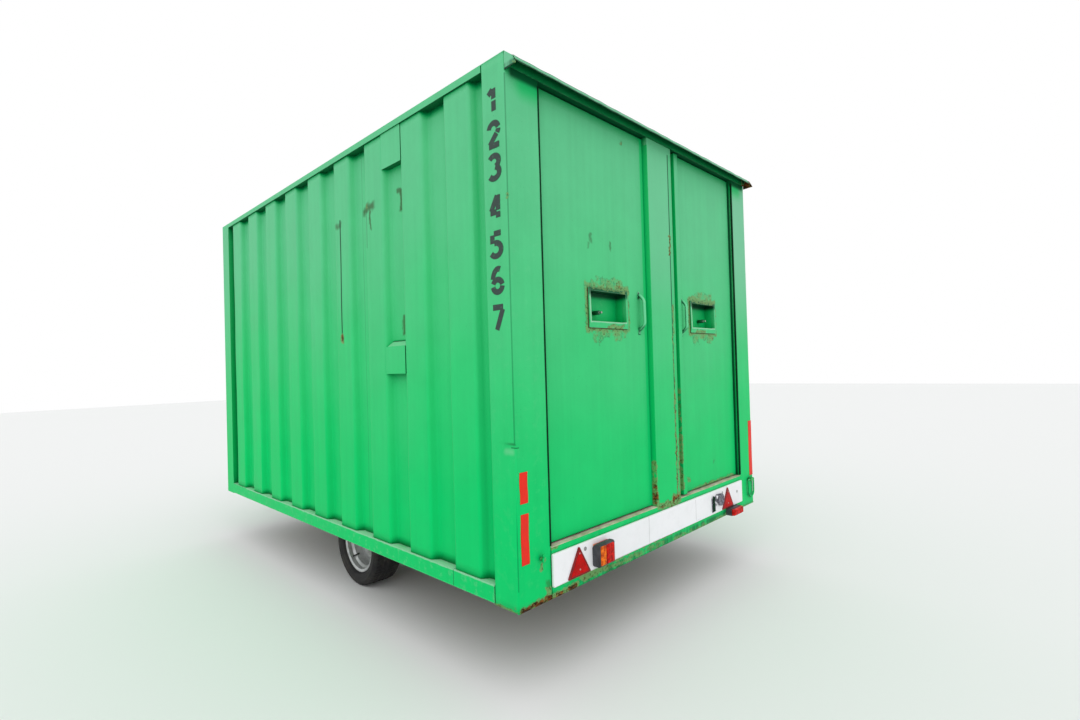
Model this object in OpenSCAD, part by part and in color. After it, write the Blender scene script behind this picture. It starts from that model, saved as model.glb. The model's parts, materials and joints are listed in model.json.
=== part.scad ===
// Towable steel site cabin on a single-axle trailer chassis, with two rear doors.
// X runs across the rear, +Y is the towing direction and Z = 0 is the ground.
// Inside the modules Y is counted from the rear face; placed() centres the whole part.

/* [Cabin] */
// Width over the corner posts
body_w = 2300; // [2000:10:2500]
// Length of the steel body
body_len = 3660; // [3400:10:4200]
// Height of the body from its underside to the roof edge
body_h = 2301; // [2100:1:2500]
// Height of the body underside above the ground
ground_gap = 380; // [372:1:420]
// Thickness of the folded frame steel
frame_t = 4; // [3:0.5:6]
// Thickness of the pressed wall and roof sheet
sheet_t = 3; // [2:0.5:4]

/* [Corner posts and rails] */
// Width of a rear post across the rear face
post_rear_w = 200; // [170:5:240]
// Width of a front post across the front face
front_post_w = 150; // [120:5:200]
// Length of a post along the side wall
post_side = 150; // [120:5:200]
// Return of a rear post into the door opening
door_return = 60; // [50:5:90]
// Return of a post behind the wall sheet
side_return = 45; // [42:1:60]
// Width of the rails and headers, seen from above
rail_w = 60; // [50:5:80]
// Height of the top side rail
top_rail_h = 33; // [25:1:60]
// Height of the bottom side rail
bottom_rail_h = 77; // [60:1:82]
// Height of the bottom rail above the body underside
rail_lift = 5; // [0:1:12]
// Height of the sill beam from the underside to the floor
sill_h = 219; // [212:1:250]
// Height of the headers over the doors and at the front
header_h = 58; // [45:1:90]

/* [Wall pressings] */
// Setback of the rib crests behind the rails
crest_setback = 6; // [2:1:12]
// Depth of the wall grooves
groove_depth = 35; // [20:1:38]
// Width of a groove floor
groove_floor = 136; // [100:2:180]
// Run of the sloping flank of a rib
flank_run = 27; // [15:1:40]
// Number of ribs along a side wall
side_ribs = 9; // [7:1:10]
// Number of ribs across the front wall
front_ribs = 5; // [4:1:6]
// Depth of the roof swages
swage_depth = 18; // [10:1:28]
// Number of roof swages
roof_ribs = 9; // [7:1:10]
// Which groove of the left wall holds the window blanks
blank_groove = 2; // [1:1:5]
// Height of the top of the lower window blank above the underside
blank_top = 1160; // [900:5:1300]
// Height of the lower window blank
blank_h = 174; // [120:2:240]
// Height of the upper window blank, down from the top rail
upper_blank_h = 188; // [120:2:260]

/* [Rear doors] */
// Distance from the centre plane to the middle of the mullion
mullion_x = 25; // [0:5:60]
// Width of the mullion
mullion_w = 250; // [200:5:300]
// Recess of the doors behind the posts
door_recess = 27; // [23:1:32]
// Depth of a door
door_depth = 45; // [40:1:52]
// Thickness of the door skin and of the tubes behind it
skin_t = 2; // [1.5:0.5:3]
// Gap between a post and the hinged edge
hinge_gap = 12; // [11:1:18]
// Gap between the mullion and the closing edge
closing_gap = 5; // [4:1:10]
// Gap under and over a door
end_gap = 8; // [6:1:14]
// Radius of the door pivot pins
pivot_r = 10; // [8:0.5:12]
// Radial running clearance of pins and bolts
run_clear = 0.1; // [0.05:0.01:0.3]
// Size of the square tubes in the door frame
frame_tube = 40; // [34:1:44]
// Height of the lock pocket's middle above the underside
lock_z = 1290; // [1100:5:1450]
// Width of the lock pocket
pocket_w = 295; // [240:5:320]
// Height of the lock pocket
pocket_h = 152; // [130:2:200]
// Depth of the lock pocket behind the door face
pocket_d = 60; // [50:1:75]
// Distance from the closing edge to the middle of the left lock pocket
pocket_in_left = 350; // [340:5:400]
// Distance from the closing edge to the middle of the right lock pocket
pocket_in_right = 378; // [340:5:400]
// Width of the raised rim round a lock pocket
rim_w = 14; // [8:1:20]
// Height of the sill under a lock pocket
rim_sill_h = 30; // [20:1:40]
// Projection of the rim from the door face
rim_proud = 6; // [3:1:10]
// Lap of the rim over the door skin round its cut-out
rim_lap = 6; // [4:0.5:7]
// Radius of the lock spindle
spindle_r = 6; // [5:0.5:8]
// Radius of the shoot bolt
bolt_r = 8; // [6:0.5:10]
// Travel of the shoot bolt
bolt_throw = 30; // [20:1:40]
// Length of a pull handle
handle_len = 224; // [180:2:280]
// Width of a pull handle's bar
handle_w = 18; // [14:1:24]
// Stand-off of a pull handle's grip
handle_out = 45; // [38:1:50]
// Width of the closing bar down the right door
bar_w = 40; // [30:2:60]
// Projection of the closing bar from the door face
bar_proud = 20; // [10:1:24]
// Distance from the closing edge to the closing bar
bar_in = 44; // [20:2:50]
// Distance from the closing edge to the left pull handle
handle_in_left = 78; // [60:2:110]
// Distance from the closing edge to the right pull handle
handle_in_right = 112; // [60:2:130]

/* [Rear canopy] */
// Projection of the canopy end plates from the rear face
canopy_proud = 67; // [62:1:90]
// Projection of the canopy at the top of its lip
canopy_knee = 48; // [40:1:55]
// Drop of the canopy from the roof to its knee
canopy_fall = 38; // [30:1:44]
// Depth of the canopy end plates
canopy_end_h = 79; // [70:1:95]

/* [Light board] */
// Distance from the left corner to the light board
board_in_left = 198; // [180:1:260]
// Distance from the right corner to the light board
board_in_right = 208; // [200:1:260]
// Height of the light board
board_h = 142; // [120:2:150]
// Thickness of the light board
board_t = 12; // [8:1:18]
// Height of the board above the body underside
board_lift = 50; // [48:1:60]
// Distance from the board's left end to the left reflector
reflector_in_left = 167; // [150:1:170]
// Distance from the board's right end to the right reflector
reflector_in_right = 228; // [200:1:232]
// Distance from the board's left end to the lamp cluster
lamp_in = 322; // [318:2:420]
// Distance from the board's right end to the broken lamp
stub_in = 416; // [412:2:480]
// Side length across a reflector's base
reflector_w = 160; // [140:5:180]
// Thickness of a reflector
reflector_t = 8; // [5:1:12]
// Width of the lamp cluster
lamp_w = 114; // [100:2:130]
// Height of the lamp cluster
lamp_h = 105; // [90:1:120]
// Depth of the lamp cluster
lamp_d = 46; // [36:1:49]
// Width of the amber lens
amber_w = 46; // [36:1:56]
// Distance from the board's right end to the marker lamp
marker_in = 152; // [120:2:200]
// Height of the marker lamp's middle above the underside
marker_up = 22; // [22:1:24]
// Width of the marker lamp
marker_w = 144; // [120:2:160]
// Height of the marker lamp
marker_h = 46; // [36:1:48]
// Distance from the left corner to the cleat
cleat_in = 135; // [120:1:150]
// Height of the cleat above the body underside
cleat_up = 190; // [170:2:200]
// Distance from the right corner to the lashing ring
ring_in = 60; // [52:1:66]
// Height of the lashing ring's bar above the body underside
ring_up = 176; // [150:2:190]
// Radius of the lashing ring's bar
ring_bar_r = 5; // [4:0.5:6]
// Half width of the lashing ring
ring_half = 40; // [34:1:46]
// Drop of the lashing ring's straight sides
ring_leg = 80; // [60:1:90]

/* [Running gear] */
// Distance from the rear face to the wheel centres
wheel_y = 1730; // [1700:5:1760]
// Distance between the wheel centre planes
track = 1740; // [1720:2:1760]
// Outer radius of a tyre
tyre_r = 262; // [258:1:266]
// Width of a tyre
tyre_w = 201; // [190:1:205]
// Radius of the rim flange
rim_r = 178; // [176:1:180]
// Half of the width between the bead seats
rim_half = 70; // [64:1:74]
// Horizontal distance from the wheel to the arm pivot
arm_run = 110; // [100:1:120]
// Height of the arm pivot above the wheel centre
arm_rise = 40; // [34:1:44]
// Thickness of a suspension arm
arm_t = 40; // [36:1:44]
// Radius of the stub axle
stub_r = 18; // [15:0.5:20]
// Size of the square axle tube
axle_tube = 70; // [68:1:74]
// Inward offset of the wheel disc from the wheel centre plane
disc_inset = 22; // [16:1:26]
// Radius of the circle of wheel studs
stud_circle = 56; // [54:0.5:60]
// Number of wheel studs
stud_count = 5; // [4:1:5]

/* [Chassis] */
// Distance from the centre plane to a main rail
rail_x = 575; // [560:5:590]
// Width of the chassis rails, joists and drawbar legs
member_w = 50; // [44:1:60]
// Height of the main rails
main_rail_h = 100; // [90:1:100]
// Height of the drawbar legs
leg_h = 80; // [70:1:90]
// Length of the main rails
main_rail_len = 2920; // [2800:10:3000]
// Number of floor joists
joist_count = 8; // [8:1:9]
// Thickness of the floor board
floor_t = 21; // [18:1:24]
// Distance from the centre plane to the partition's middle
partition_x = 25; // [0:5:60]
// Length of the right-hand room
small_room_len = 1500; // [1300:10:1700]
// Thickness of the partition
partition_t = 18; // [15:1:30]

/* [Drawbar] */
// Distance from the front wall to the coupling ball
drawbar_len = 1200; // [1150:10:1300]
// Distance from the drawbar's end to the coupling ball
head_len = 200; // [198:1:220]
// Length of the coupling housing behind the drawbar's end
housing_back = 240; // [230:5:300]
// Height of the coupling ball's centre
ball_z = 408; // [404:1:410]
// Radius of the coupling ball socket
ball_r = 25.5; // [25:0.1:26]
// Outer radius of the coupling's housing tube
housing_r = 30; // [29:0.5:31]
// Radius of the sliding coupling shaft
shaft_r = 20; // [18:0.5:21]
// Travel of the overrun shaft
overrun_travel = 80; // [60:1:90]
// Length of the handbrake lever
brake_len = 380; // [300:5:420]
// Distance from the front wall to the jockey wheel
jockey_ahead = 620; // [560:5:680]
// Outer radius of the jockey wheel's outer tube
jockey_tube_r = 24; // [22:0.5:26]
// Radius of the jockey wheel's sliding tube
jockey_stem_r = 19; // [17:0.5:20]
// Radius of the jockey wheel
jockey_r = 100; // [90:1:105]
// Width of the jockey wheel
jockey_w = 50; // [40:1:60]
// Trail of the jockey wheel behind its swivel
jockey_trail = 35; // [25:1:45]

/* [Hidden] */
$fn = 48;
left = -1;
right = 1;
// Clearance between bodies that rest close together
rest_gap = 0.3;
half_w = body_w / 2;
under_z = ground_gap;
roof_z = ground_gap + body_h;
floor_z = ground_gap + sill_h;
rail_top_z = ground_gap + rail_lift + bottom_rail_h;
panel_len = body_len - 2 * post_side;
opening_x = half_w - post_rear_w;
header_z = roof_z - header_h;
nose = ball_r + 12;
ball_y = body_len + drawbar_len;
y_shift = -(ball_y + nose - canopy_proud) / 2;
paint = [0.16, 0.66, 0.36];
dark_paint = [0.1, 0.45, 0.25];
zinc = [0.66, 0.68, 0.7];
rubber = [0.09, 0.09, 0.1];
// Floor, chassis and partition values
sill_t = 3;
sill_depth = door_recess + door_depth + 8;
floor_x = half_w - crest_setback - groove_depth - sheet_t - 6;
floor_low_z = floor_z - floor_t;
sheet_gap = 2;
joist_first = sill_depth + rest_gap;
joist_pitch = (body_len - 2 * joist_first - member_w) / (joist_count - 1);
wheel_bay = tyre_r + 50;
bay_x = track / 2 - tyre_w / 2 - 60;
leg_y0 = rail_w + main_rail_len;
leg_y1 = ball_y - head_len;
leg_front_x = housing_r + member_w / 2 + 2;
partition_top = roof_z - swage_depth - sheet_t - 2;
// Light board values
board_x0 = board_in_left - half_w;
board_x1 = half_w - board_in_right;
board_z = under_z + board_lift;
reflector_left_x = board_x0 + reflector_in_left;
reflector_right_x = board_x1 - reflector_in_right;
lamp_x = board_x0 + lamp_in;
lamp_z = board_z + board_h / 2;
lens_t = 12;
lamp_wall = 4;
stub_x = board_x1 - stub_in;
marker_x = board_x1 - marker_in;
marker_z = under_z + marker_up;
marker_d = 38;
ring_x = half_w - ring_in;
ring_y = -ring_bar_r - 7;
ring_z = under_z + ring_up;
cleat_x = cleat_in - half_w;
cleat_z = under_z + cleat_up;
// Doors values
pivot_in = door_depth / 2;
pivot_x = opening_x - hinge_gap - pivot_in;
pivot_y = door_recess + pivot_in;
pin_len = 20;
door_low_z = floor_z + end_gap + sill_t;
door_high_z = header_z - end_gap;
hinge_edge_x = opening_x - hinge_gap;
bush_len = 40;
pocket_z = under_z + lock_z;
// The spindle sits low in the pocket, away from the closing edge
spindle_off = -48;
spindle_drop = -27;
spindle_out = 55;
bolt_y = door_recess + 20;
bolt_z = pocket_z + spindle_drop;
// Crank radius that turns a quarter turn into the bolt's throw
crank_r = bolt_throw / sqrt(2);
crank_pin_r = 4;
// Each door is built with its hinged edge at low X; the right one is mirrored
left_closing_x = mullion_x - mullion_w / 2 - closing_gap;
right_closing_x = -(mullion_x + mullion_w / 2 + closing_gap);
// Axle and wheels values
arm_y = wheel_y + arm_run;
arm_z = tyre_r + arm_rise;
// Room between the arm and the wheel's centre plane for the brake drum
arm_clear = 170;
axle_wall = 6;
// Length of the arm's bearing in the axle tube
bearing_len = 20;
// Lap of an axle pad round the tube and the rail
pad_lap = 20;
arm_out_x = track / 2 - arm_clear;
arm_in_x = arm_out_x - arm_t;
torsion_r = 22;
disc_t = 5;
seat_r = rim_r - 13;
tread_half = 66;
// Coupling and handbrake values
shaft_z = rail_top_z - leg_h / 2;
housing_front = leg_y1 + 20;
neck_y = housing_front + overrun_travel + 5;
plate_t = 8;
plate_half = leg_front_x + member_w / 2 + 20;
brake_x = 40;
brake_pin_r = 6;
brake_y = leg_y1 - 130;
brake_z = rail_top_z + plate_t + 26;
lever_y = ball_y - 46;
lever_z = rail_top_z + plate_t + 12;
brake_lean = 75;
// Jockey wheel values
jockey_y = body_len + jockey_ahead;
leg_t = (jockey_y - leg_y0) / (leg_y1 - leg_y0);
leg_here_x = rail_x + (leg_front_x - rail_x) * leg_t;
jockey_x = leg_here_x + member_w / 2 + 60;
tube_low_z = 330;
tube_top_z = 760;
stem_top_z = tube_top_z - 120;
swivel_z = 2 * jockey_r + 18;
sleeve_r = jockey_tube_r + 7;
wheel_trail_y = jockey_y - jockey_trail;

// ---------- helpers ----------
module placed() translate([0, y_shift, 0]) children();
module on_side(side) scale([side, 1, 1]) children();
// Extrudes an outline drawn in Y and Z along X
module along_x(length) rotate([90, 0, 90]) linear_extrude(length, center = true) children();
module box(low, high) translate(low) cube(high - low);
module tube_box(low, high, wall, axis) {
  inset = [for (i = [0:2]) i == axis ? -1 : wall];
  difference() {
    box(low, high);
    box(low + inset, high - inset);
  }
}
module rounded_rect(width, height, radius) {
  square([width - 2 * radius, height], center = true);
  square([width, height - 2 * radius], center = true);
  for (x = [-1, 1], y = [-1, 1])
    translate([x * (width / 2 - radius), y * (height / 2 - radius)]) circle(radius);
}
// Turning points of a trapezoid pressing: start at half a groove, then crest and groove in turn
function pressing_line(count, pitch, depth, groove, flank) = concat(
  [[0, depth]],
  [for (i = [0:count - 1]) each [
    [i * pitch + groove / 2, depth],
    [i * pitch + groove / 2 + flank, 0],
    [(i + 1) * pitch - groove / 2 - flank, 0],
    [(i + 1) * pitch - groove / 2, depth]]],
  [[count * pitch, depth]]);
module pressing(count, length, depth, groove, flank, wall) {
  line = pressing_line(count, length / count, depth, groove, flank);
  back = [for (i = [len(line) - 1:-1:0]) line[i] + [0, wall]];
  polygon(concat(line, back));
}

// ---------- steel body ----------
module post_section(width, inner_return) difference() {
  square([width, post_side]);
  translate([frame_t, frame_t]) square([width - 2 * frame_t, post_side - 2 * frame_t]);
  translate([side_return, inner_return]) square([width, post_side]);
}
module post(width, inner_return) translate([-half_w, 0, under_z]) {
  linear_extrude(body_h) post_section(width, inner_return);
  for (z = [0, body_h - frame_t]) translate([0, 0, z]) linear_extrude(frame_t) difference() {
    square([width, post_side]);
    translate([rail_w, rail_w]) square([width, post_side]);
  }
}
module rear_post_left() color(paint) placed() post(post_rear_w, door_return);
module rear_post_right() color(paint) placed() on_side(-1) post(post_rear_w, door_return);
module front_frame() color(paint) placed() translate([0, body_len, 0]) mirror([0, 1, 0]) {
  for (side = [left, right]) on_side(-side) post(front_post_w, rail_w);
  tube_box([front_post_w - half_w, 0, rail_top_z], [half_w - front_post_w, rail_w, floor_z],
    frame_t, 0);
}
module roof_frame() color(paint) placed() {
  for (side = [left, right]) on_side(-side) {
    tube_box([-half_w, post_side, roof_z - top_rail_h],
      [rail_w - half_w, body_len - post_side, roof_z], frame_t, 1);
    translate([-pivot_x, pivot_y, header_z - pin_len])
      cylinder(r = pivot_r, h = pin_len + frame_t);
  }
  tube_box([-opening_x, 0, header_z], [opening_x, rail_w, roof_z], frame_t, 0);
  tube_box([front_post_w - half_w, body_len - rail_w, header_z],
    [half_w - front_post_w, body_len, roof_z], frame_t, 0);
}
module bottom_rail() tube_box([-half_w, post_side, rail_top_z - bottom_rail_h],
  [rail_w - half_w, body_len - post_side, rail_top_z], frame_t, 1);
module bottom_rails() color(paint) placed() for (side = [left, right]) on_side(side) bottom_rail();
module side_panel() translate([crest_setback - half_w, post_side, rail_top_z])
  linear_extrude(roof_z - top_rail_h - rail_top_z) mirror([1, -1])
    pressing(side_ribs, panel_len, groove_depth, groove_floor, flank_run, sheet_t);
module side_panel_left() color(paint) placed() side_panel();
module side_panel_right() color(paint) placed() on_side(-1) side_panel();
module front_panel() color(paint) placed() {
  width = body_w - 2 * front_post_w;
  translate([-width / 2, body_len - crest_setback, floor_z])
    linear_extrude(header_z - floor_z) mirror([0, 1])
      pressing(front_ribs, width, groove_depth, groove_floor, flank_run, sheet_t);
}
// Plates that close one groove flush with the crests, over and under a blanked-off window
module blank_outline(inset, depth) polygon([
  [0, inset - groove_floor / 2 - flank_run], [0, groove_floor / 2 + flank_run - inset],
  [depth, groove_floor / 2 + flank_run - inset - flank_run * depth / groove_depth],
  [depth, inset + flank_run * depth / groove_depth - groove_floor / 2 - flank_run]]);
module window_blanks() color(paint) placed() {
  fit = 1;
  centre = post_side + blank_groove * panel_len / side_ribs;
  lower_z = under_z + blank_top - blank_h;
  upper_z = roof_z - top_rail_h - upper_blank_h;
  translate([crest_setback - half_w, centre, 0]) {
    difference() {
      translate([0, 0, lower_z]) linear_extrude(blank_h) blank_outline(fit, groove_depth);
      translate([sheet_t, 0, lower_z - 1]) linear_extrude(blank_h - groove_depth)
        blank_outline(fit + sheet_t, groove_depth + 1);
      translate([0, 0, lower_z + blank_h]) rotate([0, 45, 0])
        cube([groove_depth * 1.5, groove_floor * 2, groove_depth * 1.2], center = true);
    }
    difference() {
      translate([0, 0, upper_z]) linear_extrude(upper_blank_h) blank_outline(fit, groove_depth);
      translate([sheet_t, 0, upper_z + sheet_t]) linear_extrude(upper_blank_h)
        blank_outline(fit + sheet_t, groove_depth + 1);
    }
  }
}
module roof_panel() color(paint) placed() translate([0, rail_w, roof_z]) along_x(body_w - 2 * rail_w)
  mirror([0, 1])
    pressing(roof_ribs, body_len - 2 * rail_w, swage_depth, groove_floor, flank_run, sheet_t);
module rear_canopy() color(paint) placed() translate([0, 0, roof_z]) {
  lip_y = canopy_knee + (canopy_proud - canopy_knee) * 0.6;
  lip_z = header_h;
  along_x(body_w) polygon([[0, 0], [-canopy_knee, -canopy_fall], [-lip_y, -lip_z],
    [sheet_t - lip_y, -lip_z], [sheet_t - canopy_knee, -canopy_fall - sheet_t],
    [-sheet_t, -sheet_t * 2], [-sheet_t, -header_h], [0, -header_h]]);
  for (side = [left, right]) translate([side * (half_w - frame_t / 2), 0, 0])
    along_x(frame_t) polygon([[0, 0], [-canopy_knee, -canopy_fall],
      [-canopy_proud, 4 - canopy_end_h], [0, -canopy_end_h]]);
}
module rear_beam() color(paint) placed()
  tube_box([-opening_x, 0, under_z], [opening_x, rail_w, floor_z], frame_t, 0);
module centre_mullion() color(paint) placed() difference() {
  tube_box([mullion_x - mullion_w / 2, 0, floor_z], [mullion_x + mullion_w / 2, rail_w, header_z],
    frame_t, 2);
  translate([mullion_x, bolt_y, bolt_z]) rotate([0, 90, 0])
    cylinder(r = bolt_r + 1, h = mullion_w + 2, center = true);
}

// ---------- floor, chassis and partition ----------
// Plate over the sill beam with a lip down to the floor's edge
module door_sill(x0, x1) {
  box([x0, 0, floor_z], [x1, sill_depth, floor_z + sill_t]);
  box([x0, sill_depth - sill_t, floor_low_z], [x1, sill_depth, floor_z + sill_t]);
}
module door_sills() color([0.72, 0.7, 0.62]) placed() {
  door_sill(-opening_x, mullion_x - mullion_w / 2);
  door_sill(mullion_x + mullion_w / 2, opening_x);
  for (side = [left, right])
    translate([side * pivot_x, pivot_y, floor_z]) cylinder(r = pivot_r, h = end_gap + pin_len);
}
// Two sheets that meet beside the partition, which stands on the right-hand one
module floor_board() color([0.55, 0.42, 0.26]) placed() {
  joint_x = partition_x - partition_t / 2;
  box([-floor_x, sill_depth + rest_gap, floor_low_z],
    [joint_x - sheet_gap, body_len - rail_w, floor_z]);
  box([joint_x, sill_depth + rest_gap, floor_low_z], [floor_x, body_len - rail_w, floor_z]);
}
function joist_y(i) = joist_first + i * joist_pitch;
function in_bay(y) = y + member_w > wheel_y - wheel_bay && y < wheel_y + wheel_bay;
module main_rails() color([0.16, 0.17, 0.17]) placed() for (side = [left, right])
  tube_box([side * rail_x - member_w / 2, rail_w, rail_top_z - main_rail_h],
    [side * rail_x + member_w / 2, rail_w + main_rail_len, rail_top_z], frame_t, 1);
module floor_joists() color([0.16, 0.17, 0.17]) placed() for (i = [0:joist_count - 1]) {
  reach = in_bay(joist_y(i)) ? bay_x : floor_x;
  tube_box([-reach, joist_y(i), rail_top_z], [reach, joist_y(i) + member_w, floor_low_z],
    frame_t, 0);
}
module leg_outline(inset, end_inset) polygon([
  [rail_x - member_w / 2 + inset, leg_y0 + end_inset],
  [rail_x + member_w / 2 - inset, leg_y0 + end_inset],
  [leg_front_x + member_w / 2 - inset, leg_y1 - end_inset],
  [leg_front_x - member_w / 2 + inset, leg_y1 - end_inset]]);
module drawbar_leg() difference() {
  translate([0, 0, rail_top_z - leg_h]) linear_extrude(leg_h) leg_outline(0, 0);
  translate([0, 0, rail_top_z - leg_h + frame_t]) linear_extrude(leg_h - 2 * frame_t)
    leg_outline(frame_t, frame_t);
}
module drawbar_leg_left() color([0.16, 0.17, 0.17]) placed() on_side(-1) drawbar_leg();
module drawbar_leg_right() color([0.16, 0.17, 0.17]) placed() drawbar_leg();
module partition_wall() color([0.78, 0.78, 0.74]) placed() {
  box([partition_x - partition_t / 2, rail_w, floor_z],
    [partition_x + partition_t / 2, small_room_len, partition_top]);
  box([partition_x + partition_t / 2, small_room_len - partition_t, floor_z],
    [half_w - rail_w, small_room_len, partition_top]);
}

// ---------- light board ----------
module light_board() color("white") placed()
  box([board_x0, -board_t, board_z], [board_x1, 0, board_z + board_h]);
module triangle_reflectors() color([0.75, 0.08, 0.1]) placed()
  for (x = [reflector_left_x, reflector_right_x])
    translate([x, -board_t, board_z + 4]) rotate([90, 0, 0]) linear_extrude(reflector_t)
      polygon([[-reflector_w / 2, 0], [reflector_w / 2, 0], [0, board_h - 8]]);
module lamp_housing_left() color([0.22, 0.22, 0.24]) placed()
  translate([lamp_x, -board_t, lamp_z]) rotate([90, 0, 0]) difference() {
    linear_extrude(lamp_d) rounded_rect(lamp_w, lamp_h, 8);
    translate([0, 0, lamp_wall]) linear_extrude(lamp_d) rounded_rect(lamp_w - 2 * lamp_wall,
      lamp_h - 2 * lamp_wall, 5);
  }
module lens(x0, x1) translate([lamp_x, -board_t, lamp_z]) rotate([90, 0, 0])
  translate([0, 0, lamp_wall]) intersection() {
    linear_extrude(lamp_d - lamp_wall + lens_t / 2)
      rounded_rect(lamp_w - 2 * lamp_wall, lamp_h - 2 * lamp_wall, 5);
    box([x0, -lamp_h / 2, 0], [x1, lamp_h / 2, lamp_d + lens_t]);
  }
module lamp_lens_amber() color("orange") placed() lens(-lamp_w / 2, amber_w - lamp_w / 2);
module lamp_lens_red() color("red") placed() lens(amber_w - lamp_w / 2, lamp_w / 2);
module broken_lamp_base() color([0.3, 0.3, 0.34]) placed() translate([stub_x, -board_t, lamp_z]) {
  translate([0, 0, -14]) rotate([90, 0, 0]) linear_extrude(6) polygon([[-28, 42], [2, 34], [12, 8],
    [28, -2], [18, -36], [-24, -42]]);
  translate([70, 0, 12]) rotate([90, 0, 0]) linear_extrude(8) polygon([[-60, 12], [-34, 34], [24, 30],
    [56, 10], [44, -28], [6, -36], [-46, -8]]);
}
module marker_lamp_body() color([0.15, 0.15, 0.17]) placed() translate([marker_x, 0, marker_z])
  rotate([90, 0, 0]) linear_extrude(marker_d) rounded_rect(marker_w, marker_h, 10);
module marker_lamp_lens() color([0.7, 0.05, 0.08]) placed() translate([marker_x, -marker_d, marker_z])
  rotate([90, 0, 0]) {
    linear_extrude(10) rounded_rect(marker_w - 6, marker_h - 6, 8);
    translate([0, 0, 10]) linear_extrude(12) rounded_rect(marker_w - 14, marker_h - 14, 6);
  }
module tie_down_fittings() color(paint) placed() {
  translate([ring_x, 0, ring_z]) difference() {
    box([-16, ring_y - ring_bar_r - 5, -ring_bar_r - 5], [16, 0, ring_bar_r + 5]);
    translate([0, ring_y, 0]) rotate([0, 90, 0])
      cylinder(r = ring_bar_r + rest_gap, h = 40, center = true);
  }
  translate([cleat_x, 0, cleat_z]) rotate([90, 0, 0]) {
    cylinder(r = 7, h = 16);
    translate([0, 0, 16]) cylinder(r = 11, h = 5);
    translate([-5, 0, 12]) cube([10, 22, 5]);
  }
}
module lashing_ring() color(paint) placed() translate([ring_x, ring_y, ring_z]) {
  rotate([0, 90, 0]) cylinder(r = ring_bar_r, h = 2 * ring_half, center = true);
  for (side = [left, right]) translate([side * ring_half, 0, 0]) {
    sphere(ring_bar_r);
    translate([0, 0, -ring_leg]) cylinder(r = ring_bar_r, h = ring_leg);
  }
  translate([0, 0, -ring_leg]) rotate([-90, 0, 0]) rotate_extrude(angle = 180)
    translate([ring_half, 0]) circle(ring_bar_r);
}

// ---------- doors ----------
module door_skin(closing_x, pocket_in) difference() {
  box([-hinge_edge_x, door_recess, door_low_z],
    [closing_x, door_recess + door_depth, door_high_z]);
  box([skin_t - hinge_edge_x, door_recess + skin_t, door_low_z + skin_t],
    [closing_x - skin_t, door_recess + door_depth + 1, door_high_z - skin_t]);
  translate([closing_x - pocket_in, 0, pocket_z])
    box([rim_lap - pocket_w / 2 - rim_w, 0, rim_lap - pocket_h / 2 - rim_sill_h],
      [pocket_w / 2 + rim_w - rim_lap, door_recess + 2 * skin_t, pocket_h / 2 + rim_w - rim_lap]);
  translate([closing_x, bolt_y, bolt_z]) rotate([0, 90, 0])
    cylinder(r = bolt_r + 1, h = 4 * skin_t, center = true);
  for (z = [door_low_z, door_high_z]) translate([-pivot_x, pivot_y, z])
    cylinder(r = pivot_r + 1, h = 4 * skin_t, center = true);
}
// Square-tube frame inside a door, with a pair of rails round the lock pocket
module door_frame(closing_x) {
  low = [skin_t - hinge_edge_x, door_recess + skin_t, door_low_z + skin_t];
  high = [closing_x - skin_t, door_recess + skin_t + frame_tube, door_high_z - skin_t];
  rails = [low.z, pocket_z - pocket_h / 2 - rim_sill_h - frame_tube, pocket_z + pocket_h / 2 + rim_w,
    high.z - frame_tube];
  stiles = [low.x, high.x - frame_tube];
  difference() {
    union() {
      for (x = stiles) box([x, low.y, low.z], [x + frame_tube, high.y, high.z]);
      for (z = rails) box([low.x + 1, low.y, z], [high.x - 1, high.y, z + frame_tube]);
    }
    for (x = stiles) box([x + skin_t, low.y + skin_t, low.z + bush_len],
      [x + frame_tube - skin_t, high.y - skin_t, high.z - bush_len]);
    for (z = rails) box([low.x + frame_tube, low.y + skin_t, z + skin_t],
      [high.x - frame_tube, high.y - skin_t, z + frame_tube - skin_t]);
    for (z = [door_low_z, door_high_z]) translate([-pivot_x, pivot_y, z])
      cylinder(r = pivot_r + run_clear, h = 2 * (pin_len + 2), center = true);
    translate([high.x - frame_tube / 2, bolt_y, bolt_z]) rotate([0, 90, 0])
      cylinder(r = bolt_r + run_clear, h = frame_tube + 2, center = true);
  }
}
// Welded pocket that shields the lock, with a raised rim and a sloping sill
module lock_box(closing_x, pocket_in) translate([closing_x - pocket_in, door_recess, pocket_z]) {
  difference() {
    union() {
      box([-pocket_w / 2, 0, -pocket_h / 2], [pocket_w / 2, pocket_d + skin_t, pocket_h / 2]);
      along_x(pocket_w + 2 * rim_w) polygon([[0, pocket_h / 2 + rim_w], [0, -pocket_h / 2 - rim_sill_h],
        [-rim_proud, -pocket_h / 2 - rim_sill_h], [-rim_proud - 3, -pocket_h / 2],
        [-rim_proud, pocket_h / 2 + rim_w]]);
    }
    box([skin_t - pocket_w / 2, -3 * rim_proud, skin_t - pocket_h / 2],
      [pocket_w / 2 - skin_t, pocket_d, pocket_h / 2 - skin_t]);
    translate([spindle_off, pocket_d, spindle_drop]) rotate([90, 0, 0])
      cylinder(r = spindle_r + run_clear, h = 30, center = true);
  }
}
module pull_handle(closing_x, handle_in)
  translate([closing_x - handle_in, door_recess, pocket_z - 13]) along_x(handle_w) {
    half = handle_len / 2;
    foot = 26;
    bar = 9;
    polygon([[0, half], [0, half - foot], [-handle_out + bar, half - foot - 34],
      [-handle_out + bar, foot + 34 - half], [0, foot - half], [0, -half], [-4, -half],
      [-4, foot - half - 2], [-handle_out, foot + 32 - half], [-handle_out, half - foot - 32],
      [-4, half - foot + 2], [-4, half]]);
  }
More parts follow.
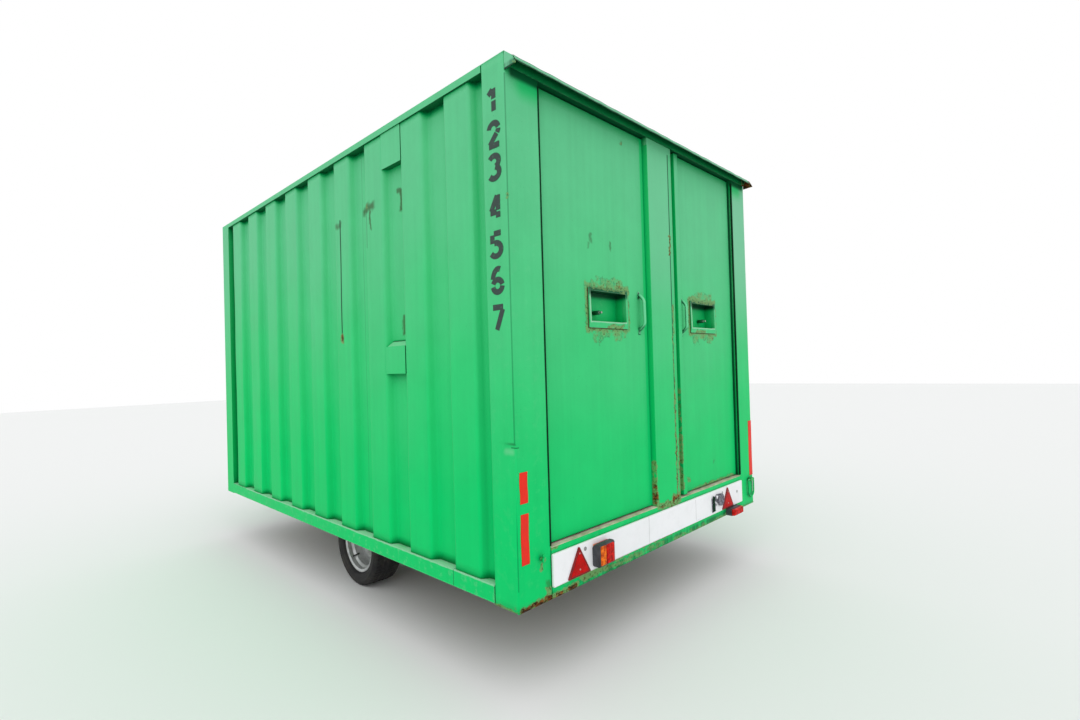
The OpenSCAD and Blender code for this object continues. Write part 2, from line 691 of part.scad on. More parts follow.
// Spindle with a crank behind the pocket; at rest the crank pin leans away from the closing edge
module lock_spindle(closing_x, pocket_in)
  translate([closing_x - pocket_in + spindle_off, door_recess + pocket_d, bolt_z])
    rotate([90, 0, 0]) {
      translate([0, 0, -skin_t - 8]) cylinder(r = spindle_r, h = 8 + skin_t + spindle_out - 14);
      translate([0, 0, spindle_out - 14]) cylinder(r = spindle_r - 1, h = 14);
      translate([0, 0, rest_gap]) cylinder(r = spindle_r + 3, h = 6);
      rotate([0, 0, 45]) translate([-6, -6, -skin_t - rest_gap - 5])
        cube([12, crank_r + 12, 5]);
      translate([-bolt_throw / 2, bolt_throw / 2, -skin_t - 16]) cylinder(r = crank_pin_r, h = 13);
    }
// Round bolt with a drive plate that reaches behind the pocket to the crank pin
module shoot_bolt(closing_x, pocket_in) {
  web_x = closing_x - pocket_in + pocket_w / 2 + 12;
  plate_y = door_recess + pocket_d + skin_t + 9;
  pin_x = closing_x - pocket_in + spindle_off - bolt_throw / 2;
  slot_half = crank_pin_r + 1;
  translate([closing_x - rest_gap, bolt_y, bolt_z]) rotate([0, -90, 0])
    cylinder(r = bolt_r, h = closing_x - web_x);
  box([web_x, bolt_y, bolt_z - 7], [web_x + 10, plate_y + 5, bolt_z + 7]);
  difference() {
    box([pin_x - 14, plate_y, bolt_z - 7], [web_x + 10, plate_y + 5, bolt_z + crank_r + 16]);
    box([pin_x + 16, plate_y - 1, bolt_z + 8], [web_x + 11, plate_y + 6, bolt_z + crank_r + 17]);
    box([pin_x - slot_half, plate_y - 1, bolt_z + bolt_throw / 2 - slot_half],
      [pin_x + slot_half, plate_y + 6, bolt_z + crank_r + slot_half]);
  }
}
module door_skin_left() color(paint) placed() door_skin(left_closing_x, pocket_in_left);
module door_frame_left() color(dark_paint) placed() door_frame(left_closing_x);
module lock_box_left() color(paint) placed() lock_box(left_closing_x, pocket_in_left);
module pull_handle_left() color(paint) placed() pull_handle(left_closing_x, handle_in_left);
module lock_spindle_left() color(zinc) placed() lock_spindle(left_closing_x, pocket_in_left);
module shoot_bolt_left() color(zinc) placed() shoot_bolt(left_closing_x, pocket_in_left);
module closing_bar(closing_x)
  tube_box([closing_x - bar_in - bar_w, door_recess - bar_proud, door_low_z],
    [closing_x - bar_in, door_recess + skin_t, door_high_z], skin_t, 2);
module door_skin_right() color(paint) placed() on_side(-1) {
  door_skin(right_closing_x, pocket_in_right);
  closing_bar(right_closing_x);
}
module door_frame_right() color(dark_paint) placed() on_side(-1) door_frame(right_closing_x);
module lock_box_right() color(paint) placed() on_side(-1) lock_box(right_closing_x, pocket_in_right);
module pull_handle_right() color(paint) placed() on_side(-1)
  pull_handle(right_closing_x, handle_in_right);
module lock_spindle_right() color(zinc) placed() on_side(-1)
  lock_spindle(right_closing_x, pocket_in_right);
module shoot_bolt_right() color(zinc) placed() on_side(-1)
  shoot_bolt(right_closing_x, pocket_in_right);

// ---------- axle and wheels: built on the right, mirrored to the left ----------
function arc(cx, cy, rx, ry, a0, a1, steps) =
  [for (i = [0:steps]) let (a = a0 + (a1 - a0) * i / steps) [cx + rx * cos(a), cy + ry * sin(a)]];
function flip(points) = [for (i = [len(points) - 1:-1:0]) [points[i].x, -points[i].y]];
module x_rod(x0, x1, radius, y, z) translate([x0, y, z]) rotate([0, 90, 0])
  cylinder(r = radius, h = x1 - x0);
module wheel_axis() translate([track / 2, wheel_y, tyre_r]) rotate([0, 90, 0]) children();
module axle_beam() color([0.55, 0.57, 0.58]) placed() {
  half = axle_tube / 2;
  tube_box([rest_gap - arm_in_x, arm_y - half, arm_z - half],
    [arm_in_x - rest_gap, arm_y + half, arm_z + half], axle_wall, 0);
  for (side = [left, right]) on_side(side) {
    difference() {
      box([arm_in_x - bearing_len, arm_y - half + axle_wall / 2, arm_z - half + axle_wall / 2],
        [arm_in_x - rest_gap, arm_y + half - axle_wall / 2, arm_z + half - axle_wall / 2]);
      x_rod(arm_in_x - 2 * bearing_len, arm_in_x + 1, torsion_r + run_clear, arm_y, arm_z);
    }
    box([rail_x - member_w, arm_y - half - pad_lap, arm_z + half],
      [rail_x + member_w, arm_y + half + pad_lap, rail_top_z - main_rail_h]);
  }
}
module suspension_arm() {
  x_rod(arm_in_x - 60, arm_in_x + 1, torsion_r, arm_y, arm_z);
  x_rod(arm_in_x, arm_out_x, 36, arm_y, arm_z);
  x_rod(arm_in_x, arm_out_x + 20, 30, wheel_y, tyre_r);
  translate([arm_in_x, arm_y, arm_z]) rotate([atan(arm_rise / arm_run), 0, 0])
    translate([0, -norm([arm_run, arm_rise]), -25])
      cube([arm_t, norm([arm_run, arm_rise]), 50]);
  x_rod(arm_out_x, track / 2 - 14, stub_r, wheel_y, tyre_r);
  x_rod(track / 2 - 106, track / 2 - 102, 112, wheel_y, tyre_r);
}
module suspension_arm_left() color([0.3, 0.31, 0.32]) placed() on_side(-1) suspension_arm();
module suspension_arm_right() color([0.3, 0.31, 0.32]) placed() suspension_arm();
// Brake drum, hub, wheel studs with nuts, and grease cap
module hub() wheel_axis() difference() {
  union() {
    translate([0, 0, -101]) cylinder(r = 105, h = 101 - disc_inset);
    translate([0, 0, -disc_inset - 1]) cylinder(r = 32, h = disc_inset + 12);
    translate([0, 0, 11]) cylinder(r = 28, h = 8);
    for (i = [0:stud_count - 1]) rotate(i * 360 / stud_count) translate([stud_circle, 0, 0]) {
      translate([0, 0, -disc_inset - 1]) cylinder(r = 6, h = 26);
      translate([0, 0, disc_t - disc_inset]) cylinder(r = 11, h = 14, $fn = 6);
    }
  }
  translate([0, 0, -102]) cylinder(r = stub_r + run_clear, h = 92);
  translate([0, 0, -102]) cylinder(r = 96, h = 56);
}
module hub_left() color([0.72, 0.68, 0.3]) placed() on_side(-1) hub();
module hub_right() color([0.72, 0.68, 0.3]) placed() hub();
module rim() wheel_axis() difference() {
  union() {
    rotate_extrude() {
      tyre_side = [[rim_r, rim_half + 7], [rim_r, rim_half + 3.5], [seat_r, rim_half],
        [seat_r, rim_half - 22], [seat_r - 13, rim_half - 34]];
      bore_side = [[rim_r - 4, rim_half + 7], [seat_r - 4, rim_half + 2.5],
        [seat_r - 4, rim_half - 23.5], [seat_r - 17, rim_half - 36]];
      polygon(concat(tyre_side, flip(tyre_side), [for (p = bore_side) [p.x, -p.y]], flip(
        [for (p = bore_side) [p.x, -p.y]])));
    }
    rotate_extrude() {
      face = [[33, 0], [76, 0], [92, 14], [108, 14], [126, 3], [seat_r - 15, 3]];
      polygon(concat([for (p = face) p + [0, disc_t - disc_inset]],
        [for (i = [len(face) - 1:-1:0]) face[i] - [0, disc_inset]]));
    }
  }
  for (i = [0:stud_count - 1]) rotate(i * 360 / stud_count) translate([stud_circle, 0, -disc_inset])
    cylinder(r = 6.5, h = 4 * disc_t, center = true);
}
module rim_left() color([0.8, 0.81, 0.82]) placed() on_side(-1) rim();
module rim_right() color([0.8, 0.81, 0.82]) placed() rim();
module tyre() wheel_axis() rotate_extrude() {
  mid_r = (rim_r + tyre_r) / 2;
  rise = (tyre_r - rim_r) / 2;
  bulge = tyre_w / 2 - tread_half;
  wall = 10;
  groove = 7;
  outer = concat([[seat_r + rest_gap, rim_half - 20], [seat_r + rest_gap, rim_half - rest_gap],
      [rim_r + 1, rim_half - rest_gap]],
    arc(mid_r, tread_half, -rise, bulge, 20, 180, 16),
    [for (y = [46, 16]) each [[tyre_r, y + 4], [tyre_r - groove, y + 3], [tyre_r - groove, y - 3],
      [tyre_r, y - 4]]]);
  inner = concat([[seat_r + 12, rim_half - 22]],
    arc(mid_r + 2, tread_half - 2, 2 * wall - rise, bulge - wall, 20, 90, 6),
    arc(mid_r + 2, tread_half - 2, wall + groove - rise - 2, bulge - wall, 90, 180, 8));
  polygon(concat(outer, flip(outer), [for (p = inner) [p.x, -p.y]], flip(
    [for (p = inner) [p.x, -p.y]])));
}
module tyre_left() color(rubber) placed() on_side(-1) tyre();
module tyre_right() color(rubber) placed() tyre();

// ---------- coupling and handbrake ----------
module y_rod(y0, y1, radius) translate([0, y0, shaft_z]) rotate([-90, 0, 0])
  cylinder(r = radius, h = y1 - y0);
module coupling_housing() color([0.6, 0.62, 0.64]) placed() {
  difference() {
    union() {
      y_rod(leg_y1 - housing_back, housing_front, housing_r);
      for (y = [leg_y1 - 190, leg_y1 - 60])
        box([-12, y, shaft_z + housing_r - 4], [12, y + 40, rail_top_z + 1]);
    }
    y_rod(leg_y1 - housing_back - 1, housing_front + 1, shaft_r + run_clear);
  }
  box([-plate_half, leg_y1 - 200, rail_top_z], [plate_half, leg_y1, rail_top_z + plate_t]);
  for (x = [brake_x - 15, brake_x + 9])
    box([x, brake_y - 20, rail_top_z + plate_t - 1], [x + 6, brake_y + 20, brake_z + 20]);
  x_rod(brake_x - 17, brake_x + 17, brake_pin_r, brake_y, brake_z);
}
module coupling_head() color([0.62, 0.64, 0.66]) placed() difference() {
  union() {
    y_rod(leg_y1 - 200, neck_y + 10, shaft_r);
    y_rod(neck_y, neck_y + 40, shaft_r + 8);
    translate([0, ball_y, ball_z]) sphere(ball_r + 12);
    translate([0, ball_y, ball_z - 14]) cylinder(r = ball_r + 12, h = 20);
    box([-shaft_r - 4, neck_y + 20, shaft_z - 24], [shaft_r + 4, ball_y, shaft_z + 24]);
    for (x = [-22, 15]) box([x, lever_y - 12, shaft_z + 20], [x + 7, lever_y + 12, lever_z + 10]);
    x_rod(-20, 20, 5, lever_y, lever_z);
  }
  translate([0, ball_y, ball_z]) sphere(ball_r);
  translate([0, ball_y, ball_z - 60]) cylinder(r = ball_r, h = 60);
}
module coupling_lever() color([0.15, 0.15, 0.16]) placed() difference() {
  union() {
    x_rod(-14, 14, 10, lever_y, lever_z);
    box([-12, lever_y - 120, lever_z + 3], [12, lever_y, lever_z + 9]);
    translate([0, lever_y - 120, lever_z + 9]) rotate([0, 90, 0])
      cylinder(r = 9, h = 28, center = true);
  }
  x_rod(-15, 15, 5 + run_clear, lever_y, lever_z);
}
module handbrake_lever() color([0.7, 0.72, 0.73]) placed() difference() {
  translate([brake_x, brake_y, brake_z]) rotate([-brake_lean, 0, 0]) {
    translate([-8.5, 0, 0]) rotate([0, 90, 0]) cylinder(r = 16, h = 17);
    translate([-5, -brake_len, -9]) cube([10, brake_len, 18]);
    translate([0, -brake_len, 0]) rotate([90, 0, 0]) translate([0, 0, -110])
      cylinder(r = 14, h = 120);
  }
  x_rod(brake_x - 10, brake_x + 10, brake_pin_r + run_clear, brake_y, brake_z);
}

// ---------- jockey wheel ----------
module at_jockey(z) translate([-jockey_x, jockey_y, z]) children();
module jockey_outer_tube() color([0.7, 0.72, 0.74]) placed() difference() {
  union() {
    at_jockey(tube_low_z) cylinder(r = jockey_tube_r, h = tube_top_z - tube_low_z);
    at_jockey(rail_top_z - 30) cylinder(r = sleeve_r, h = 70);
    box([-jockey_x, jockey_y - 25, rail_top_z], [member_w / 2 - 5 - leg_here_x, jockey_y + 25,
      rail_top_z + 10]);
  }
  at_jockey(tube_low_z - 1) cylinder(r = jockey_stem_r + run_clear, h = 21);
  at_jockey(tube_low_z + 15) cylinder(r = jockey_tube_r - 3, h = tube_top_z - tube_low_z - 21);
  at_jockey(tube_top_z - 10) cylinder(r = 8 + run_clear, h = 12);
}
module jockey_stem() color([0.75, 0.77, 0.78]) placed() difference() {
  union() {
    at_jockey(swivel_z) cylinder(r = jockey_stem_r, h = stem_top_z - swivel_z);
    at_jockey(swivel_z) cylinder(r = 30, h = 10);
  }
  at_jockey(swivel_z + 40) cylinder(r = jockey_stem_r - 3, h = stem_top_z);
  at_jockey(swivel_z - 1) cylinder(r = 10 + run_clear, h = 31);
}
module jockey_crank() color([0.2, 0.2, 0.22]) placed() {
  at_jockey(stem_top_z - 40) cylinder(r = 8, h = tube_top_z + 26 - stem_top_z + 40);
  at_jockey(tube_top_z + rest_gap) cylinder(r = 12, h = 8);
  at_jockey(tube_top_z + 18) translate([-10, -10, 0]) cube([20, 130, 8]);
  at_jockey(tube_top_z + 20) translate([0, 108, 0]) cylinder(r = 12, h = 80);
}
module jockey_fork() color([0.7, 0.72, 0.74]) placed() {
  at_jockey(swivel_z - 8.3) cylinder(r = 30, h = 8);
  at_jockey(swivel_z - 2) cylinder(r = 10, h = 30);
  box([-jockey_x - jockey_w / 2 - 8, wheel_trail_y - 16, swivel_z - 8.3],
    [-jockey_x + jockey_w / 2 + 8, jockey_y, swivel_z - 1]);
  for (x = [-jockey_w / 2 - 8, jockey_w / 2 + 4])
    box([x - jockey_x, wheel_trail_y - 16, jockey_r - 16],
      [x + 4 - jockey_x, wheel_trail_y + 16, swivel_z - 2]);
  x_rod(-jockey_x - jockey_w / 2 - 12, jockey_w / 2 + 12 - jockey_x, 8, wheel_trail_y, jockey_r);
}
module jockey_wheel() color(rubber) placed()
  translate([-jockey_x, wheel_trail_y, jockey_r]) rotate([0, 90, 0]) rotate_extrude() {
    edge = 12;
    half = jockey_w / 2;
    right_side = concat([[8 + run_clear, half + 2], [24, half + 2], [28, half - 8], [66, half - 8],
      [72, half]], arc(jockey_r - edge, half - edge, edge, edge, 90, 0, 6));
    polygon(concat(right_side, flip(right_side)));
  }

rear_post_left();
rear_post_right();
front_frame();
roof_frame();
bottom_rails();
side_panel_left();
side_panel_right();
front_panel();
window_blanks();
roof_panel();
rear_canopy();
rear_beam();
centre_mullion();
door_sills();
floor_board();
main_rails();
floor_joists();
drawbar_leg_left();
drawbar_leg_right();
partition_wall();
light_board();
triangle_reflectors();
lamp_housing_left();
lamp_lens_amber();
lamp_lens_red();
broken_lamp_base();
marker_lamp_body();
marker_lamp_lens();
tie_down_fittings();
lashing_ring();
door_skin_left();
door_frame_left();
lock_box_left();
pull_handle_left();
lock_spindle_left();
shoot_bolt_left();
door_skin_right();
door_frame_right();
lock_box_right();
pull_handle_right();
lock_spindle_right();
shoot_bolt_right();
axle_beam();
suspension_arm_left();
suspension_arm_right();
hub_left();
hub_right();
rim_left();
rim_right();
tyre_left();
tyre_right();
coupling_housing();
coupling_head();
coupling_lever();
handbrake_lever();
jockey_outer_tube();
jockey_stem();
jockey_crank();
jockey_fork();
jockey_wheel();
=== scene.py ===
import json
import math
import bmesh
import bpy
import numpy as np
from mathutils import Matrix, Vector

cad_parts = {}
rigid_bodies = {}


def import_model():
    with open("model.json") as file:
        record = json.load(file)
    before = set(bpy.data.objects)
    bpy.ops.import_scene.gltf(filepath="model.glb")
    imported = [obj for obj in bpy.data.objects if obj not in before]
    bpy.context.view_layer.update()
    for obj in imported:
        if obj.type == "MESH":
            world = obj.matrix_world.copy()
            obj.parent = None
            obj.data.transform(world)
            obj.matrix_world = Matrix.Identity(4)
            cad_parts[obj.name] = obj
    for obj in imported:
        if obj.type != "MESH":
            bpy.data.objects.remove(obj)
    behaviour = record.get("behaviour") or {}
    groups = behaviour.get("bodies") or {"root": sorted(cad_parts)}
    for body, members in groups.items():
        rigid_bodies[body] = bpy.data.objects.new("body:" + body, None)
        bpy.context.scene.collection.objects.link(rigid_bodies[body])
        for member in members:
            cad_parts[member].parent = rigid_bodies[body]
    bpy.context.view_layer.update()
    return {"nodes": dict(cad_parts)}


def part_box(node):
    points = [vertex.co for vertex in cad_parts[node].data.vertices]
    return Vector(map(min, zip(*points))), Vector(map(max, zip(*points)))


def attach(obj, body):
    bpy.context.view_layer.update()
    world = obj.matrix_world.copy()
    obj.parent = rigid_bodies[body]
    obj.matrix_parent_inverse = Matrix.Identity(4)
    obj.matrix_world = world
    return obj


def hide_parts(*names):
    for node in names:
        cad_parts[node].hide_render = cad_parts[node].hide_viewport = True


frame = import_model()
nodes = frame["nodes"]
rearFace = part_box("rear_beam")[0].y        # plane of the rear posts and the beam
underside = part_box("rear_beam")[0].z       # lowest level of the steel body
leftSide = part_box("rear_post_left")[0].x   # plane of the left-hand posts
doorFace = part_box("door_skin_left")[0].y   # skins sit back between the posts


def at(x, depth, height):
    # a place on the body: x across, depth in from the rear face, height up from the underside
    return (x, rearFace + depth, underside + height)


# node helpers
def put(tree, node, inputs):
    # a socket is linked to the input named; anything else becomes its value
    for key, value in inputs.items():
        if isinstance(value, bpy.types.NodeSocket):
            tree.links.new(value, node.inputs[key])
        else:
            node.inputs[key].default_value = value


def add(tree, kind, inputs=None, **settings):
    # the settings come first, because some of them bring the inputs
    made = tree.nodes.new("ShaderNode" + kind)
    for key, value in settings.items():
        setattr(made, key, value)
    put(tree, made, inputs or {})
    return made


def calc(tree, operation, first, second, clamp=False):
    # one step of arithmetic on fields or plain numbers
    return add(tree, "Math", {0: first, 1: second}, operation=operation, use_clamp=clamp).outputs[0]


def times(tree, first, second):
    return calc(tree, "MULTIPLY", first, second)


def plus(tree, first, second):
    return calc(tree, "ADD", first, second)


def most(tree, first, second):
    return calc(tree, "MAXIMUM", first, second)


def swing(tree, field, amount):
    # a field that lies about one half is brought to lie about zero, times amount
    return times(tree, calc(tree, "SUBTRACT", field, 0.5), amount)


def vector(tree, operation, first, second=(0, 0, 0)):
    return add(tree, "VectorMath", {0: first, 1: second}, operation=operation)


def scaled(tree, field, factor):
    return add(tree, "VectorMath", {0: field, "Scale": factor}, operation="SCALE").outputs[0]


def blendColour(tree, factor, first, second):
    # each colour is a socket or three numbers
    first, second = (c if isinstance(c, bpy.types.NodeSocket) else (*c, 1) for c in (first, second))
    return add(tree, "Mix", {0: factor, 6: first, 7: second}, data_type="RGBA").outputs[2]


def step(tree, value, low, high, outLow=0.0, outHigh=1.0):
    # smooth ramp: outLow up to low, outHigh past high, which may be the smaller of the two
    return add(tree, "MapRange", {0: value, 1: low, 2: high, 3: outLow, 4: outHigh},
               interpolation_type="SMOOTHSTEP").outputs[0]


def noise(tree, coords, scale, detail=3.0, rough=0.55, stretch=None):
    if stretch:
        coords = add(tree, "Mapping", {"Vector": coords, "Scale": stretch}).outputs[0]
    settings = {"Vector": coords, "Scale": scale, "Detail": detail, "Roughness": rough}
    return add(tree, "TexNoise", settings).outputs[0]


def newMaterial(name):
    material = bpy.data.materials.new(name)
    material.use_nodes = True
    tree = material.node_tree
    tree.nodes.clear()
    shader = add(tree, "BsdfPrincipled")
    add(tree, "OutputMaterial", {0: shader.outputs[0]})
    coords = add(tree, "TexCoord").outputs["Object"]
    return material, tree, shader, coords


def raised(tree, shader, height, strength, distance, softEdge=0.0):
    # bump from a height field, over normals that round sharp edges off by softEdge metres
    bump = add(tree, "Bump", {"Height": height, "Strength": strength, "Distance": distance})
    if softEdge:
        put(tree, bump, {"Normal": add(tree, "Bevel", {"Radius": softEdge}, samples=4).outputs[0]})
    put(tree, shader, {"Normal": bump.outputs[0]})


def makeNearGroup():
    # 1 inside a box, falling smoothly to 0 at a distance spread outside it, times amount
    group = bpy.data.node_groups.new("nearBox", "ShaderNodeTree")
    sockets = {"Point": "Vector", "Middle": "Vector", "Half": "Vector", "Spread": "Float", "Amount": "Float"}
    for name, kind in sockets.items():
        group.interface.new_socket(name, in_out="INPUT", socket_type="NodeSocket" + kind)
    group.interface.new_socket("Mask", in_out="OUTPUT", socket_type="NodeSocketFloat")
    given, result = group.nodes.new("NodeGroupInput").outputs, group.nodes.new("NodeGroupOutput")
    offset = vector(group, "SUBTRACT", given["Point"], given["Middle"])
    size = vector(group, "ABSOLUTE", offset.outputs[0])
    over = vector(group, "SUBTRACT", size.outputs[0], given["Half"])
    outside = vector(group, "MAXIMUM", over.outputs[0])
    far = vector(group, "LENGTH", outside.outputs[0]).outputs["Value"]
    mask = step(group, far, 0.0, given["Spread"], 1.0, 0.0)
    put(group, result, {"Mask": times(group, mask, given["Amount"])})
    return group


nearGroup = makeNearGroup()


def patches(tree, coords, spots):
    # the strongest of several soft boxes; a spot is (middle on the body, half size, spread, amount)
    best = None
    for middle, half, spread, amount in spots:
        near = add(tree, "Group", {"Point": coords, "Middle": at(*middle), "Half": half, "Spread": spread,
                                   "Amount": amount}, node_tree=nearGroup).outputs[0]
        best = near if best is None else most(tree, best, near)
    return best


# camera and stage
cameraSettings = {
    "place": (-2.6636, -4.0325, 1.3817),
    "heading": 46.03,   # degrees from +Y towards +X
    "tilt": 0.7,
    "roll": -1.63,
    "lens": 18.14,
    "sensor": 36.0,
    "far": 200.0,
}
stageSettings = {
    "floorSize": 60.0,
    "floorColour": (0.8, 0.8, 0.79, 1),
    "floorRough": 0.85,
    "skyStrength": 0.86,
    "skyColour": (0.97, 0.99, 1.0, 1),
    "sunStrength": 1.05,
    "sunWidth": 70.0,       # degrees, wide as on an overcast day
    "sunTurn": (38.0, -6.0, -38.0),
}


def makeCamera(s):
    # side, up and back are the camera's own axes: heading and tilt first, then the roll about the view line
    heading, tilt, roll = (math.radians(s[key]) for key in ("heading", "tilt", "roll"))
    ahead = Vector((math.sin(heading) * math.cos(tilt), math.cos(heading) * math.cos(tilt), math.sin(tilt)))
    level = Vector((math.cos(heading), -math.sin(heading), 0))
    above = level.cross(ahead)
    side = level * math.cos(roll) + above * math.sin(roll)
    up = above * math.cos(roll) - level * math.sin(roll)
    data = bpy.data.cameras.new("roadsideView")
    data.lens, data.sensor_width, data.sensor_fit = s["lens"], s["sensor"], "HORIZONTAL"
    data.clip_end = s["far"]
    camera = bpy.data.objects.new("roadsideView", data)
    turn = Matrix((side, up, -ahead)).transposed().to_4x4()
    camera.matrix_world = Matrix.Translation(s["place"]) @ turn
    bpy.context.collection.objects.link(camera)
    bpy.context.scene.camera = camera


def makeFloor(s):
    half = s["floorSize"] / 2
    mesh = bpy.data.meshes.new("paleFloor")
    corners = [(-half, -half, 0), (half, -half, 0), (half, half, 0), (-half, half, 0)]
    mesh.from_pydata(corners, [], [(0, 1, 2, 3)])
    floor = bpy.data.objects.new("paleFloor", mesh)
    bpy.context.collection.objects.link(floor)
    material, tree, shader = newMaterial("floorFinish")[:3]
    put(tree, shader, {"Base Color": s["floorColour"], "Roughness": s["floorRough"]})
    mesh.materials.append(material)


def makeSky(s):
    # the sky lights the scene in its own colour; seen straight, mirrored or through glass it is plain white
    world = bpy.data.worlds.new("overcastSky")
    bpy.context.scene.world = world
    world.use_nodes = True
    tree = world.node_tree
    tree.nodes.clear()
    rays = add(tree, "LightPath").outputs
    mirrored = most(tree, rays["Is Glossy Ray"], rays["Is Transmission Ray"])
    plain = most(tree, rays["Is Camera Ray"], mirrored)
    light = add(tree, "Background", {"Color": s["skyColour"], "Strength": s["skyStrength"]})
    white = add(tree, "Background", {"Color": (1, 1, 1, 1)})
    pick = add(tree, "MixShader", {0: plain, 1: light.outputs[0], 2: white.outputs[0]})
    add(tree, "OutputWorld", {0: pick.outputs[0]})

    sun = bpy.data.lights.new("softSun", "SUN")
    sun.energy, sun.angle = s["sunStrength"], math.radians(s["sunWidth"])
    lamp = bpy.data.objects.new("softSun", sun)
    lamp.rotation_euler = [math.radians(a) for a in s["sunTurn"]]
    bpy.context.collection.objects.link(lamp)
    bpy.context.scene.view_settings.view_transform = "Standard"


makeCamera(cameraSettings)
makeFloor(stageSettings)
makeSky(stageSettings)
print("stage: camera, floor and sky are set")

# paint on steel
greenPaint = {
    "low": (0.0001, 0.588, 0.146),      # deep green where the paint has not faded
    "high": (0.113, 0.54, 0.256),      # paler and greyer towards the top: partly sun-bleached paint, partly a painted sheen of the pale sky
    "lowLevel": 0.42,                   # heights where low begins to turn into high, and where it has done so
    "highLevel": 2.58,
    "pale": (0.3, 0.64, 0.4),      # chalked paint on worn ledges, and painted highlight on lit rims, folds and edges
    "recessShade": (0.0, 0.36, 0.09),    # deeper green painted as shade in recesses
    "paintedShade": (0.0, 0.52, 0.134),     # deeper green painted as shade below the canopy, beside the mullion and inside the lock pockets
    "faded": (0.2, 0.545, 0.335),     # greyed paint where sun and water lie longest
    "dark": (0.0005, 0.03, 0.013),     # near-black: dirt in joints and cracks, and painted shade in corners, under ledges and below the canopy
    "grimeAndShade": (0.004, 0.05, 0.022),
    "stain": (0.18, 0.33, 0.11),
    "speck": (0.04, 0.062, 0.016),
    "rustDark": (0.03, 0.014, 0.007),
    "rustBright": (0.27, 0.085, 0.02),
}
fields = {    # scale, detail and roughness of each noise, and how far it is stretched
    "drift": (1.3, 2.0), "streaks": (1.0, 4.0, 0.6, (30, 30, 0.8)), "blotches": (5.0, 5.0, 0.6),
    "fine": (110.0, 5.0, 0.65), "specks": (150.0, 2.0), "bare": (26.0, 7.0, 0.7), "level": (260.0, 2.0),
    "bulge": (2.4, 1.0), "soft": (24.0, 6.0, 0.62), "broken": (18.0, 2.0), "dots": (78.0, 4.0, 0.7),
    "tint": (60.0, 5.0, 0.75, (0.5, 0.5, 1.6)),
}
ramps = {    # for each kind of wear, the value of its field where it begins and where it is full
    "specks": (0.7, 0.76), "bare": (0.52, 0.66), "recessShade": (0.88, 0.55), "corner": (0.52, 0.18),
    "under": (-0.2, -0.75), "ledge": (0.5, 0.9), "chalkAndHighlight": (0.3, 0.55), "film": (0.3, 0.62),
    "edge": (0.995, 0.8), "exposed": (0.6, 0.9), "present": (0.03, 0.2), "stain": (0.4, 0.86),
    "rimStart": (0.38, 0.44), "rimEnd": (0.56, 0.48), "broken": (0.48, 0.6), "dots": (0.52, 0.6),
    "scab": (1.04, 1.2), "tint": (0.44, 0.58),
}
wear = {    # how much of each there is at most
    "drift": 0.8, "streaks": 0.14, "blotches": 0.2, "specks": 0.35, "under": 0.75, "coarse": 1.25,
    "fine": 0.9, "stain": 0.86, "dots": 0.85, "rim": 0.55,
    "ragged": 0.05, "slight": 0.008,    # how far outlines wander, in metres
    "roughLeast": 0.37, "roughBlotches": 0.18, "roughScab": 0.4, "shine": 0.09,
    "level": 0.03, "scabHeight": 0.5, "bump": 0.55, "bumpHeight": 0.003,
}


def painted(tree, colour, coords, spots, wanted):
    # the wanted colour over the spots; with no spots the colour stays as it is
    return blendColour(tree, patches(tree, coords, spots), colour, wanted) if spots else colour


